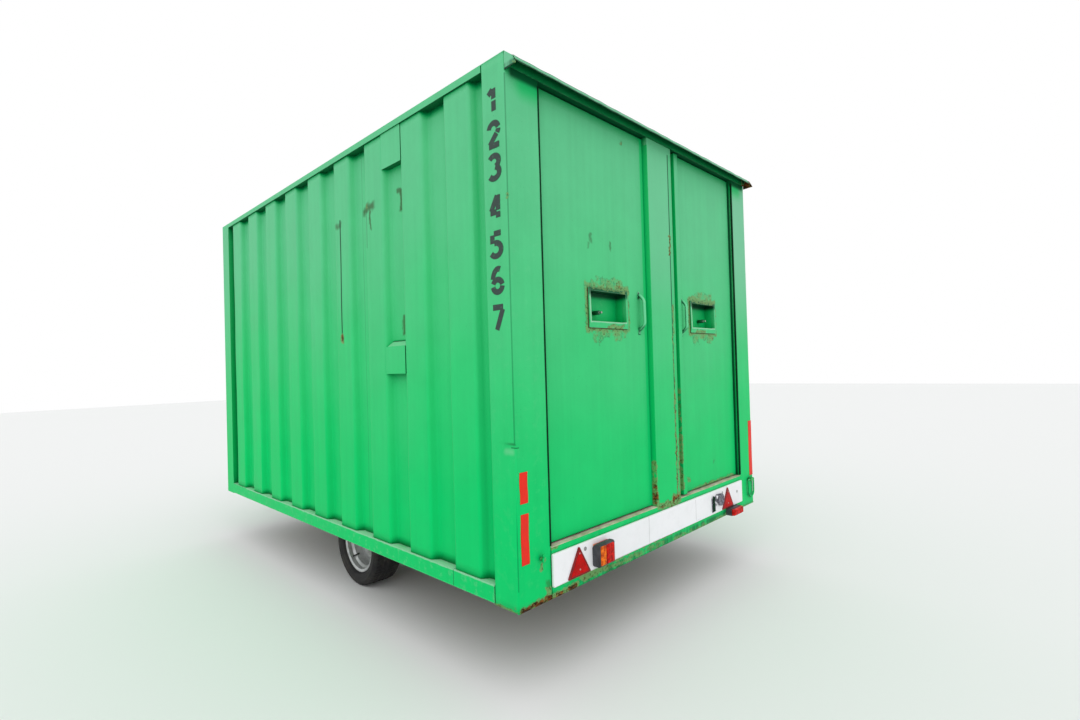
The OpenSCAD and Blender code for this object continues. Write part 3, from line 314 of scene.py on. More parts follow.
def steelPaint(name, paint, rust=(), stains=(), grimeAndShade=(), lines=(), paintedShade=(), faded=(), paintedHighlight=(),
               smudges=(), edgeRust=0.0, edgePale=0.0, softEdge=0.004, wave=0.6, worn=0.0, reach=0.12,
               ledge=0.0, cornerShade=0.95):
    # base tone by height, streaks and blotches on it, painted shade (deeper green, then near-black) where
    # other faces are near or the face looks down, drawn patches and lines, then a mottled stain, specks and
    # scabs of rust where masks ask
    material, tree, shader, coords = newMaterial(name)

    def field(name):
        return noise(tree, coords, *fields[name])

    height = add(tree, "SeparateXYZ", {0: coords}).outputs[2]
    height = plus(tree, height, swing(tree, field("drift"), wear["drift"]))
    # paler towards the top: bleaching, and a painted sheen of the sky
    bleachAndSheen = step(tree, height, paint["lowLevel"], paint["highLevel"])
    colour = blendColour(tree, bleachAndSheen, paint["low"], paint["high"])
    streaks, blotches, fine = field("streaks"), field("blotches"), field("fine")
    tone = plus(tree, 1.0, swing(tree, streaks, wear["streaks"]))
    colour = scaled(tree, colour, plus(tree, tone, swing(tree, blotches, wear["blotches"])))
    rough = plus(tree, wear["roughLeast"], times(tree, blotches, wear["roughBlotches"]))
    specks = times(tree, step(tree, field("specks"), *ramps["specks"]), wear["specks"])
    colour = blendColour(tree, specks, colour, paint["grimeAndShade"])
    if worn:
        bare = times(tree, step(tree, field("bare"), *ramps["bare"]), worn)
        colour = blendColour(tree, bare, colour, paint["pale"])
    colour = painted(tree, colour, coords, faded, paint["faded"])

    # painted shade: deeper green where other faces are near, near-black closer in and on faces that look down
    sky = add(tree, "AmbientOcclusion", {"Distance": reach}, samples=6).outputs["AO"]
    flat = add(tree, "NewGeometry").outputs["True Normal"]
    facing = add(tree, "SeparateXYZ", {0: flat}).outputs[2]
    colour = blendColour(tree, step(tree, sky, *ramps["recessShade"]), colour, paint["recessShade"])
    under = step(tree, facing, *ramps["under"], 0.0, wear["under"])
    # painted shade: near-black in tight corners and on down-facing faces
    darkened = most(tree, step(tree, sky, *ramps["corner"], 0.0, cornerShade), under)
    colour = blendColour(tree, darkened, colour, paint["dark"])

    # patches with clean outlines lie on coords, those with torn ones on ragged or slight
    wander = add(tree, "TexNoise", {"Vector": coords, "Scale": 26.0, "Detail": 3.0}).outputs["Color"]
    wander = vector(tree, "SUBTRACT", wander, (0.5, 0.5, 0.5)).outputs[0]
    ragged, slight = (vector(tree, "ADD", coords, scaled(tree, wander, wear[key])).outputs[0]
                      for key in ("ragged", "slight"))
    # painted shade: deeper green on the boxes given
    colour = painted(tree, colour, coords, paintedShade, paint["paintedShade"])
    # painted highlight: pale paint on the thin boxes given
    colour = painted(tree, colour, slight, paintedHighlight, paint["pale"])
    # up-facing faces paler in blotches: chalking, and a painted highlight where the sky falls on them
    if ledge:
        chalkAndHighlight = times(tree, step(tree, facing, *ramps["ledge"], 0.0, ledge),
                      step(tree, blotches, *ramps["chalkAndHighlight"], 0.55, 1.0))
        colour = blendColour(tree, chalkAndHighlight, colour, paint["pale"])
    colour = painted(tree, colour, ragged, smudges, paint["speck"])
    # a streaky film: road grime, and painted shade where it lies under the canopy lip
    if grimeAndShade:
        film = times(tree, patches(tree, coords, grimeAndShade), step(tree, streaks, *ramps["film"]))
        colour = blendColour(tree, film, colour, paint["grimeAndShade"])
    # dark lines: joints and cracks, and painted shadow lines under sills, rims, handle feet and the canopy
    colour = painted(tree, colour, coords, lines, paint["dark"])
    relief = plus(tree, times(tree, field("level"), wear["level"]), times(tree, field("bulge"), wave))

    heavy = patches(tree, ragged, rust)
    if edgeRust or edgePale:
        # an edge is where the rounded normal leaves the flat one
        rounded = add(tree, "Bevel", {"Radius": softEdge * 1.5}, samples=4).outputs[0]
        edge = step(tree, vector(tree, "DOT_PRODUCT", rounded, flat).outputs["Value"], *ramps["edge"])
        # open edges paler: worn paint and a painted highlight together
        if edgePale:
            exposed = times(tree, step(tree, sky, *ramps["exposed"]), times(tree, edge, edgePale))
            colour = blendColour(tree, exposed, colour, paint["pale"])
        worst = times(tree, edge, edgeRust)
        heavy = worst if heavy is None else most(tree, heavy, worst)
    if heavy is not None:
        # cover is the mask plus coarse and fine noise; stain, rim and scab are bands of it
        near = most(tree, heavy, patches(tree, ragged, stains)) if stains else heavy
        present = step(tree, near, *ramps["present"])
        uneven = plus(tree, swing(tree, field("soft"), wear["coarse"]), swing(tree, fine, wear["fine"]))
        cover, heavy = plus(tree, near, uneven), plus(tree, heavy, uneven)
        stain = times(tree, step(tree, cover, *ramps["stain"]), times(tree, present, wear["stain"]))
        rim = times(tree, step(tree, cover, *ramps["rimStart"]), step(tree, cover, *ramps["rimEnd"]))
        rim = times(tree, rim, times(tree, present, step(tree, field("broken"), *ramps["broken"])))
        dots = times(tree, step(tree, field("dots"), *ramps["dots"]), stain)
        scab = times(tree, step(tree, heavy, *ramps["scab"]), present)
        tint = step(tree, field("tint"), *ramps["tint"])
        rustColour = blendColour(tree, tint, paint["rustDark"], paint["rustBright"])
        colour = blendColour(tree, stain, colour, paint["stain"])
        colour = blendColour(tree, times(tree, dots, wear["dots"]), colour, paint["speck"])
        colour = blendColour(tree, times(tree, rim, wear["rim"]), colour, paint["rustDark"])
        colour = blendColour(tree, scab, colour, rustColour)
        rough = plus(tree, rough, times(tree, scab, wear["roughScab"]))
        relief = plus(tree, relief, times(tree, times(tree, scab, fine), wear["scabHeight"]))
    put(tree, shader, {"Base Color": colour, "Roughness": rough, "Specular IOR Level": wear["shine"]})
    raised(tree, shader, relief, wear["bump"], wear["bumpHeight"], softEdge)
    return material


def dress(material, names):
    for name in names:
        for slot in nodes[name].material_slots:
            slot.material = material


def both(name):
    return [name + "_left", name + "_right"]


pocketMiddle = {"left": -0.455, "right": 0.533}
handleMiddle = {"left": -0.183, "right": 0.267}
cabinPaint = steelPaint(
    "cabinPaint", greenPaint, edgeRust=0.16,
    # painted shade right under the canopy: deeper green, then a dark band
    paintedShade=[((0.0, 0.0, 2.25), (0.95, 0.03, 0.05), 0.02, 0.6)],
    lines=[((0.0, 0.0, 2.236), (0.95, 0.06, 0.012), 0.024, 0.88)])
wallGreen = dict(greenPaint, lowLevel=0.66, highLevel=2.68, recessShade=(0.0, 0.44, 0.112))
wallPaint = steelPaint(
    # ledge: up-facing sills paler, chalk and painted highlight
    "wallPaint", wallGreen, wave=1.2, softEdge=0.0, reach=0.2, ledge=0.9, cornerShade=0.55,
    rust=[
        ((-1.13, 1.16, 1.92), (0.03, 0.006, 0.006), 0.018, 0.85),
        ((-1.13, 1.48, 1.2), (0.03, 0.01, 0.02), 0.02, 1.05)],
    smudges=[
        ((-1.13, 1.165, 1.912), (0.06, 0.078, 0.005), 0.032, 0.75),
        ((-1.13, 1.12, 1.85), (0.06, 0.002, 0.065), 0.012, 0.8),
        ((-1.13, 1.19, 1.86), (0.06, 0.002, 0.05), 0.01, 0.65),
        ((-1.13, 0.86, 1.9), (0.06, 0.003, 0.055), 0.016, 0.8),
        ((-1.13, 0.88, 1.955), (0.06, 0.014, 0.005), 0.014, 0.7),
        ((-1.13, 0.86, 1.235), (0.06, 0.006, 0.045), 0.018, 0.75),
        ((-1.13, 1.51, 1.88), (0.06, 0.03, 0.003), 0.024, 0.6)],
    lines=[
        ((-1.13, 1.48, 1.55), (0.03, 0.0048, 0.36), 0.004, 0.92),
        ((-1.13, 1.27, 1.32), (0.03, 0.0008, 1.23), 0.0012, 0.5),
        ((-1.13, 1.16, 1.8), (0.03, 0.0012, 0.11), 0.003, 0.55)])
railPaint = steelPaint(
    "railPaint", greenPaint, edgeRust=0.24, worn=0.2, edgePale=0.9, reach=0.03, ledge=0.95,
    # painted highlight along the top lip of each rail
    paintedHighlight=[
        ((-1.15, 1.2, 0.08), (0.02, 2.0, 0.0022), 0.004, 0.8),
        ((1.15, 1.2, 0.08), (0.02, 2.0, 0.0022), 0.004, 0.8)],
    lines=[((-1.15, 0.435, 0.04), (0.08, 0.0012, 0.06), 0.0014, 0.8)])
fittingPaint = steelPaint(
    "fittingPaint", greenPaint, edgeRust=0.34, softEdge=0.002, worn=0.5,
    rust=[
        ((-1.01, -0.01, 0.185), (0.008, 0.03, 0.012), 0.012, 0.55),
        ((1.09, -0.01, 0.17), (0.022, 0.03, 0.014), 0.014, 0.66)])
postPaint = steelPaint(
    "postPaint", greenPaint, edgeRust=0.16, softEdge=0.003, worn=0.04,
    rust=[
        ((-1.04, 0.0, 0.006), (0.1, 0.03, 0.008), 0.022, 1.25),
        ((-0.97, 0.0, 0.024), (0.012, 0.02, 0.024), 0.02, 0.95),
        ((-1.15, 0.08, 0.0), (0.01, 0.07, 0.003), 0.012, 0.9),
        ((-1.01, 0.0, 0.155), (0.006, 0.01, 0.014), 0.014, 0.85),
        ((-1.153, 0.0, 1.7), (0.004, 0.004, 0.006), 0.01, 0.8),
        ((1.06, 0.0, 0.0), (0.1, 0.02, 0.003), 0.022, 0.7)],
    lines=[
        ((-1.15, 0.0, 0.06), (0.0015, 0.0015, 0.045), 0.003, 0.9),
        ((-1.15, 0.0, 1.15), (0.004, 0.004, 1.06), 0.003, 0.42),
        # dirt and painted shade on the right post's return
        ((0.951, 0.027, 1.22), (0.004, 0.007, 1.02), 0.006, 0.8),
        # painted shade: a dark band under the canopy, and a shadow line in the crease
        ((0.0, 0.0, 2.23), (1.11, 0.006, 0.01), 0.026, 0.85),
        ((-1.14, 0.012, 0.672), (0.014, 0.016, 0.0012), 0.002, 0.7)],
    # painted shade: deeper green just below the canopy
    paintedShade=[((0.0, 0.0, 2.205), (1.04, 0.01, 0.016), 0.09, 0.85)],
    faded=[((1.06, 0.0, 1.95), (0.09, 0.02, 0.2), 0.75, 0.75)],
    # painted highlight on the fold below the crease
    paintedHighlight=[((-1.148, 0.04, 0.654), (0.006, 0.016, 0.001), 0.022, 0.3)],
    smudges=[((-0.975, 0.0, 0.06), (0.004, 0.01, 0.02), 0.012, 0.5)])
beamPaint = steelPaint(
    "beamPaint", greenPaint, edgeRust=0.26, worn=0.1, reach=0.06,
    grimeAndShade=[((0.0, 0.0, 0.01), (0.95, 0.03, 0.01), 0.024, 0.75)],
    rust=[
        ((-0.88, 0.0, 0.004), (0.09, 0.03, 0.008), 0.026, 1.15),
        ((-0.66, 0.0, 0.036), (0.1, 0.03, 0.01), 0.024, 0.95),
        ((-0.35, 0.0, 0.02), (0.3, 0.03, 0.004), 0.024, 0.66),
        ((-0.3, 0.0, 0.046), (0.34, 0.03, 0.002), 0.01, 0.9),
        ((0.5, 0.0, 0.004), (0.44, 0.03, 0.003), 0.016, 0.72),
        ((0.03, 0.0, 0.214), (0.12, 0.03, 0.008), 0.022, 1.0),
        ((-0.93, 0.0, 0.215), (0.02, 0.03, 0.004), 0.014, 0.8)])
mullionPaint = steelPaint(
    "mullionPaint", greenPaint, edgeRust=0.2, reach=0.03,
    rust=[
        ((-0.099, 0.012, 0.29), (0.004, 0.012, 0.05), 0.024, 1.16),
        ((-0.099, 0.012, 0.4), (0.002, 0.012, 0.06), 0.018, 0.84),
        ((0.03, 0.0, 0.222), (0.125, 0.02, 0.004), 0.02, 0.95),
        ((0.1, 0.0, 0.235), (0.03, 0.02, 0.01), 0.03, 1.15),
        ((0.118, 0.0, 0.52), (0.003, 0.01, 0.3), 0.01, 1.05),
        ((0.118, 0.0, 0.98), (0.002, 0.01, 0.22), 0.008, 0.8),
        ((0.112, 0.0, 1.68), (0.005, 0.01, 0.05), 0.012, 1.15),
        ((0.148, 0.0, 0.4), (0.004, 0.02, 0.17), 0.012, 0.95),
        ((0.128, 0.0, 1.25), (0.004, 0.02, 0.08), 0.012, 0.85)],
    faded=[((0.03, 0.0, 1.85), (0.07, 0.01, 0.2), 0.5, 0.35)],
    # painted shade: deeper green on the mullion's left return and beside its seam
    paintedShade=[
        ((-0.1, 0.016, 1.2), (0.003, 0.018, 1.0), 0.004, 0.85),
        ((0.134, 0.0, 1.2), (0.01, 0.004, 1.0), 0.006, 0.3)],
    lines=[((0.116, 0.0, 1.2), (0.0036, 0.01, 1.0), 0.002, 0.88)])


def doorPaint(side, spots, smudges):
    # wear round the lock pocket, painted shadow lines under its sill, beside its rim and below the handle's
    # feet, and painted shade beside the mullion
    x, z, handleX = pocketMiddle[side], 1.29, handleMiddle[side]
    return steelPaint(
        side + "DoorPaint", greenPaint, edgeRust=0.2, wave=1.3, reach=0.1, smudges=smudges,
        stains=[
            ((x, 0.027, z - 0.004), (0.174, 0.02, 0.112), 0.026, 0.8),
            ((x + 0.02, 0.027, z + 0.13), (0.1, 0.02, 0.006), 0.034, 0.66),
            ((x - 0.09, 0.027, z - 0.155), (0.03, 0.02, 0.016), 0.026, 0.55),
            ((x + 0.02, 0.027, z - 0.132), (0.12, 0.02, 0.006), 0.026, 0.66),
            ((x + 0.08, 0.027, z - 0.15), (0.026, 0.02, 0.012), 0.024, 0.55)],
        rust=[((x + 0.09, 0.027, z + 0.105), (0.03, 0.02, 0.004), 0.016, 0.9)] + spots,
        # painted shade beside the mullion
        paintedShade=[
            ((-0.118, 0.027, 1.2), (0.012, 0.02, 1.1), 0.006, 0.75),
            ((0.182, 0.027, 1.2), (0.018, 0.03, 1.05), 0.006, 0.6)],
        # painted shadow lines under the pocket's sill, left of its rim and below the handle's feet
        lines=[
            ((x, 0.027, z - 0.108), (0.158, 0.02, 0.002), 0.004, 0.75),
            ((x - 0.163, 0.027, z), (0.0022, 0.02, 0.095), 0.004, 0.75),
            ((handleX, 0.027, 1.355), (0.009, 0.02, 0.0016), 0.005, 0.75),
            ((handleX, 0.027, 1.161), (0.009, 0.02, 0.0016), 0.005, 0.75)])


leftDoorPaint = doorPaint("left", [
    ((-0.3, 0.027, 2.16), (0.003, 0.01, 0.003), 0.014, 0.8)], [
    ((-0.58, 0.027, 1.62), (0.001, 0.01, 0.018), 0.016, 0.55),
    ((-0.6, 0.027, 1.585), (0.001, 0.01, 0.014), 0.01, 0.4),
    ((-0.42, 0.027, 1.6), (0.001, 0.01, 0.014), 0.016, 0.6)])
rightDoorPaint = doorPaint("right", [
    ((0.3, 0.027, 0.3), (0.012, 0.01, 0.006), 0.016, 0.8),
    ((0.197, 0.01, 0.42), (0.003, 0.02, 0.16), 0.012, 0.92),
    ((0.194, 0.01, 0.74), (0.001, 0.02, 0.14), 0.01, 0.66),
    ((0.62, 0.027, 0.234), (0.28, 0.02, 0.003), 0.01, 0.8)], [
    ((0.62, 0.027, 0.36), (0.001, 0.01, 0.01), 0.012, 0.4)])
pocketPaint = steelPaint(
    "pocketPaint", greenPaint, edgeRust=0.1, softEdge=0.002, worn=0.2, edgePale=0.85, reach=0.1,
    # painted highlight on the left side and sill of each pocket's rim
    paintedHighlight=[((x - 0.1495, 0.01, 1.29), (0.004, 0.03, 0.08), 0.003, 0.85) for x in pocketMiddle.values()]
    + [((x, 0.01, 1.215), (0.147, 0.03, 0.004), 0.003, 0.85) for x in pocketMiddle.values()],
    # painted shade: deeper green inside the pockets
    paintedShade=[((0.0, 0.07, 1.28), (0.75, 0.02, 0.06), 0.01, 0.6)],
    # painted shade under the top of each pocket
    lines=[((x, 0.055, 1.364), (0.15, 0.03, 0.01), 0.026, 0.9) for x in pocketMiddle.values()],
    rust=[
        ((-0.4, 0.015, 1.192), (0.06, 0.01, 0.006), 0.014, 0.95),
        ((-0.455, 0.015, 1.376), (0.14, 0.01, 0.004), 0.01, 0.7),
        ((0.5, 0.015, 1.192), (0.06, 0.01, 0.006), 0.014, 0.95),
        ((0.533, 0.015, 1.376), (0.14, 0.01, 0.004), 0.01, 0.8)])
# a lit copy of the green for the handles: paler tones as painted highlight, near-black green in their
# recesses as painted shade on their lower side
litHandleGreen = dict(greenPaint, low=(0.07, 0.61, 0.23), high=(0.19, 0.64, 0.36),
                   recessShade=(0.0, 0.16, 0.05))
handlePaint = steelPaint(
    "handlePaint", litHandleGreen, edgeRust=0.18, softEdge=0.0015, worn=0.3, edgePale=0.5, reach=0.05)
canopyPaint = steelPaint(
    "canopyPaint", greenPaint, edgeRust=0.3, softEdge=0.002, worn=0.25, edgePale=0.3, reach=0.09,
    # painted shade under the canopy lip
    grimeAndShade=[((0.0, -0.02, 2.236), (1.15, 0.04, 0.004), 0.012, 0.6)],
    faded=[((0.0, -0.04, 2.262), (1.15, 0.06, 0.05), 0.02, 0.6)],
    rust=[
        ((0.1, -0.03, 2.262), (0.9, 0.006, 0.006), 0.01, 0.72),
        ((-1.15, -0.06, 2.232), (0.004, 0.006, 0.004), 0.008, 0.9),
        ((1.135, -0.05, 2.25), (0.012, 0.04, 0.04), 0.016, 1.3)],
    # dark lines along the lip: painted shade under its folds
    lines=[
        ((-1.15, -0.034, 2.2245), (0.006, 0.034, 0.003), 0.002, 0.92),
        ((0.0, -0.05, 2.2625), (1.15, 0.003, 0.0022), 0.0016, 0.88),
        ((0.0, -0.056, 2.251), (1.15, 0.004, 0.0008), 0.0012, 0.7),
        ((0.0, -0.061, 2.241), (1.15, 0.004, 0.0016), 0.0014, 0.9),
        ((0.0, -0.002, 2.2985), (1.15, 0.004, 0.0022), 0.0015, 0.7)])

dress(cabinPaint, ["front_frame", "roof_frame", *both("side_panel"), "front_panel", "roof_panel"])
dress(wallPaint, ["window_blanks"])
dress(railPaint, ["bottom_rails"])
dress(fittingPaint, ["lashing_ring", "tie_down_fittings"])
dress(handlePaint, both("pull_handle"))
dress(postPaint, both("rear_post"))
dress(beamPaint, ["rear_beam"])
dress(mullionPaint, ["centre_mullion"])
dress(leftDoorPaint, ["door_skin_left"])
dress(rightDoorPaint, ["door_skin_right"])
dress(pocketPaint, both("lock_box"))
dress(canopyPaint, ["rear_canopy"])
print("paint: green steel is dressed")

# other finishes
finishes = {    # two tones, the scale of their mottling, roughness and road dirt, and what else there is
    "sillFinish": ((0.68, 0.6, 0.48), (0.38, 0.4, 0.25), 14.0, 0.75, 0.42, {}),
    "chassisPaint": ((0.02, 0.07, 0.036), (0.05, 0.06, 0.045), 7.0, 0.62, 0.5, {}),
    "galvanised": ((0.5, 0.52, 0.53), (0.36, 0.38, 0.4), 60.0, 0.46, 0.3, {"metal": 0.8, "cells": True}),
    "boardPaint": ((0.9, 0.89, 0.92), (0.86, 0.86, 0.88), 3.5, 0.5, 0.05, {"lines": [
        ((-0.205, -0.012, 0.122), (0.0008, 0.02, 0.08), 0.0014, 0.55),
        ((0.3, -0.012, 0.122), (0.0008, 0.02, 0.06), 0.0014, 0.6),
        ((0.33, -0.012, 0.06), (0.03, 0.02, 0.0006), 0.0012, 0.35),
        ((-0.5, -0.012, 0.052), (0.4, 0.02, 0.001), 0.003, 0.25)]}),
    "reflectorRed": ((0.6, 0.001, 0.001), (0.4, 0.001, 0.001), 30.0, 0.4, 0.06, {
        "coat": 0.02, "facets": 420.0, "shine": 0.08}),
    "amberLens": ((0.95, 0.21, 0.004), (0.42, 0.03, 0.002), 62.0, 0.28, 0.08, {
        "coat": 0.06, "ribs": 330.0, "shine": 0.12}),
    "redLens": ((0.78, 0.012, 0.004), (0.24, 0.001, 0.001), 52.0, 0.3, 0.08, {
        "coat": 0.05, "ribs": 330.0, "shine": 0.1}),
    "lampBlack": ((0.03, 0.034, 0.04), (0.075, 0.08, 0.088), 14.0, 0.55, 0.25, {}),
    "brokenGrey": ((0.26, 0.25, 0.31), (0.02, 0.02, 0.026), 95.0, 0.4, 0.35, {}),
    "tyreRubber": ((0.014, 0.014, 0.015), (0.03, 0.029, 0.028), 11.0, 0.78, 0.35, {}),
    "wheelSilver": ((0.62, 0.63, 0.63), (0.4, 0.41, 0.41), 10.0, 0.38, 0.3, {"metal": 0.55}),
    "hubPaint": ((0.4, 0.42, 0.05), (0.22, 0.26, 0.04), 16.0, 0.5, 0.5, {}),
    "blackPaint": ((0.02, 0.02, 0.022), (0.04, 0.04, 0.042), 16.0, 0.45, 0.2, {}),
    "brightSteel": ((0.52, 0.52, 0.5), (0.38, 0.37, 0.34), 60.0, 0.3, 0.2, {"metal": 0.9}),
    "jockeyRubber": ((0.026, 0.026, 0.027), (0.05, 0.048, 0.045), 20.0, 0.75, 0.35, {}),
    "plywood": ((0.3, 0.185, 0.095), (0.2, 0.115, 0.055), 5.0, 0.6, 0.25, {"grain": (1.0, 14.0, 14.0)}),
    "darkGreenPaint": ((0.004, 0.06, 0.026), (0.012, 0.11, 0.045), 30.0, 0.45, 0.35, {}),
    "rustedSteel": ((0.04, 0.02, 0.01), (0.13, 0.052, 0.02), 46.0, 0.85, 0.3, {}),
    "stripRubber": ((0.001, 0.016, 0.006), (0.001, 0.034, 0.012), 12.0, 0.8, 0.1, {"shine": 0.1}),
    "reflectorDark": ((0.26, 0.003, 0.005), (0.15, 0.002, 0.004), 30.0, 0.3, 0.1, {
        "coat": 0.1, "shine": 0.2}),
    "lining": ((0.58, 0.57, 0.52), (0.48, 0.47, 0.42), 4.0, 0.55, 0.15, {}),
}


common = {
    "mottle": (4.0, 0.6), "tones": (0.3, 0.7), "cells": 0.8,
    "dirtField": (17.0, 7.0, 0.68), "dirtRamp": (0.46, 0.72), "dirtRough": 0.35,
    "darkened": (0.085, 0.07, 0.052), "seam": (0.2, 0.19, 0.18),
    "grit": (240.0, 3.0), "gritHeight": 0.12, "ribsX": 20, "ribsZ": 12, "crossRibs": 0.5,
    "shine": 0.35, "bump": 0.4, "bumpHeight": 0.0015, "softEdge": 0.0015,
}


def makeFinish(name, first, second, scale, rough, dirtiness, s):
    # two tones mixed by soft noise, road dirt in the hollows of a finer noise, and relief of the kind named
    material, tree, shader, coords = newMaterial(name)
    mottled = noise(tree, coords, scale, *common["mottle"], stretch=s.get("grain"))
    if s.get("cells"):
        cells = add(tree, "TexVoronoi", {"Vector": coords, "Scale": scale}).outputs["Color"]
        mottled = times(tree, add(tree, "SeparateColor", {0: cells}).outputs[0], common["cells"])
    colour = blendColour(tree, step(tree, mottled, *common["tones"]), first, second)
    hollows = step(tree, noise(tree, coords, *common["dirtField"]), *common["dirtRamp"])
    darkened = times(tree, hollows, dirtiness)
    colour = blendColour(tree, darkened, colour, common["darkened"])
    colour = painted(tree, colour, coords, s.get("lines"), common["seam"])
    rough = calc(tree, "ADD", rough, times(tree, darkened, common["dirtRough"]), clamp=True)
    relief = times(tree, noise(tree, coords, *common["grit"]), common["gritHeight"])
    if s.get("facets"):
        cells = add(tree, "TexVoronoi", {"Vector": coords, "Scale": s["facets"]}).outputs["Distance"]
        relief = plus(tree, relief, cells)
    if s.get("ribs"):
        # ribs that follow one another along x, and weaker ones along z
        wave, cross = (add(tree, "TexWave", {"Vector": coords, "Scale": s["ribs"] / common["ribs" + axis]},
                           bands_direction=axis).outputs["Fac"] for axis in "XZ")
        relief = plus(tree, relief, plus(tree, wave, times(tree, cross, common["crossRibs"])))
    shine = s.get("shine", common["shine"])
    put(tree, shader, {"Base Color": colour, "Roughness": rough, "Metallic": s.get("metal", 0.0),
                       "Specular IOR Level": shine, "Coat Weight": s.get("coat", 0.0)})
    raised(tree, shader, relief, common["bump"], common["bumpHeight"], common["softEdge"])
    return material


finish = {name: makeFinish(name, *row) for name, row in finishes.items()}
finishOf = {
    "sillFinish": ["door_sills"],
    "plywood": ["floor_board"],
    "lining": ["partition_wall"],
    "chassisPaint": ["main_rails", "floor_joists", *both("drawbar_leg"), *both("door_frame"),
                     *both("suspension_arm")],
    "galvanised": ["axle_beam", "coupling_housing", "coupling_head", "handbrake_lever", "jockey_outer_tube",
                   "jockey_stem", "jockey_fork"],
    "blackPaint": ["coupling_lever", "jockey_crank"],
    "brightSteel": [*both("lock_spindle"), *both("shoot_bolt")],
    "boardPaint": ["light_board"],
    "reflectorRed": ["triangle_reflectors"],
    "lampBlack": ["lamp_housing_left", "marker_lamp_body"],
    "amberLens": ["lamp_lens_amber"],
    "redLens": ["lamp_lens_red", "marker_lamp_lens"],
    "brokenGrey": ["broken_lamp_base"],
    "hubPaint": both("hub"),
    "wheelSilver": both("rim"),
    "tyreRubber": both("tyre"),
    "jockeyRubber": ["jockey_wheel"],
}
for finishName, names in finishOf.items():
    dress(finish[finishName], names)
print("finishes: every part has its own")


# surfaces from arrays
def surface(name, grids, body, slot, material, replaces=(), **finishing):
    # each grid is an array (rows, columns, 3); neighbouring points are joined by quads
    points, faces, start = [], [], 0
    for grid in grids:
        rows, columns = grid.shape[:2]
        index = start + np.arange(rows * columns).reshape(rows, columns)
        quads = np.stack([index[:-1, :-1], index[:-1, 1:], index[1:, 1:], index[1:, :-1]], -1)
        points.append(grid.reshape(-1, 3))
        faces.append(quads.reshape(-1, 4))
        start += rows * columns
    mesh = bpy.data.meshes.new(name)
    mesh.from_pydata(np.concatenate(points).tolist(), [], np.concatenate(faces).tolist())
    finishPiece(name, mesh, body, slot, material, replaces, **finishing)


def finishPiece(name, mesh, body, slot, material, replaces=(), smooth=True, thickness=0.0, offset=1.0,
                outward=None, closed=False):
    # a closed skin has its doubles merged and its faces turned out; an open sheet is turned to face along
    # outward, and thickness makes a closed shell of it
    if closed:
        work = bmesh.new()
        work.from_mesh(mesh)
        bmesh.ops.remove_doubles(work, verts=work.verts, dist=1e-6)
        bmesh.ops.dissolve_degenerate(work, edges=work.edges, dist=1e-7)
        bmesh.ops.recalc_face_normals(work, faces=work.faces)
        work.to_mesh(mesh)
        work.free()
    if outward:
        normals = np.empty(len(mesh.polygons) * 3)
        mesh.polygons.foreach_get("normal", normals)
        if normals.reshape(-1, 3).sum(0) @ np.array(outward) < 0:
            mesh.flip_normals()
    mesh.validate()
    mesh.polygons.foreach_set("use_smooth", [smooth] * len(mesh.polygons))
    mesh.materials.append(material)
    piece = bpy.data.objects.new(name, mesh)
    bpy.context.collection.objects.link(piece)
    if thickness:
        solid = piece.modifiers.new("thickness", "SOLIDIFY")
        solid.thickness, solid.offset = thickness, offset
    if replaces:
        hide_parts(*replaces)
    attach(piece, body)
    return piece


def turned(profile, place, axis, steps=24):
    # a profile of (radius, height) pairs carried round an axis
    profile = np.asarray(profile, float)
    angle = np.linspace(0, 2 * np.pi, steps + 1)
    axis = np.asarray(axis, float) / np.linalg.norm(axis)
    helper = np.array([0.0, 0.0, 1.0]) if abs(axis[2]) < 0.9 else np.array([1.0, 0.0, 0.0])
    across = np.cross(helper, axis)
    across /= np.linalg.norm(across)
    third = np.cross(axis, across)
    ring = np.cos(angle)[:, None] * across + np.sin(angle)[:, None] * third
    return np.asarray(place, float) + ring[:, None, :] * profile[None, :, :1] + profile[None, :, 1:] * axis


def pathLength(line):
    # how far along the line each of its points lies
    return np.concatenate([[0], np.cumsum(np.linalg.norm(np.diff(line, axis=0), axis=1))])


def resampled(line, length, wanted):
    return np.stack([np.interp(wanted, length, line[:, i]) for i in range(line.shape[1])], 1)


def ribbon(line, width, lift):
    # a flat stroke: the line's points moved half the width to either side; lift turns (u, v) into a place
    line = np.asarray(line, float)
    run = np.gradient(line, axis=0)
    run /= np.maximum(np.linalg.norm(run, axis=1, keepdims=True), 1e-9)
    normal = np.stack([-run[:, 1], run[:, 0]], 1)
    return np.stack([lift(line + normal * width / 2), lift(line - normal * width / 2)], 1)


def bead(path, radius, seed, pitch):
    # a weld: a tube along a path whose radius swells once every pitch, with a little seeded unevenness
    length = pathLength(path)
    count = max(8, int(length[-1] / (pitch / 3)))
    s = np.linspace(0, length[-1], count)
    line = resampled(path, length, s)
    run = np.gradient(line, axis=0)
    run /= np.linalg.norm(run, axis=1, keepdims=True)
    helper = np.where(np.abs(run[:, 1:2]) < 0.9, np.array([[0.0, 1.0, 0.0]]), np.array([[1.0, 0.0, 0.0]]))
    across = np.cross(run, helper)
    across /= np.linalg.norm(across, axis=1, keepdims=True)
    third = np.cross(run, across)
    angle = np.linspace(0, 2 * np.pi, 9)
    uneven = np.random.default_rng(seed).normal(0, 0.1, count)
    size = radius * (1 + 0.22 * np.sin(2 * np.pi * s / pitch) + uneven)
    size[0] = size[-1] = 0.0
    ring = np.cos(angle)[None, :, None] * across[:, None] + np.sin(angle)[None, :, None] * third[:, None]
    return line[:, None] + ring * size[:, None, None]


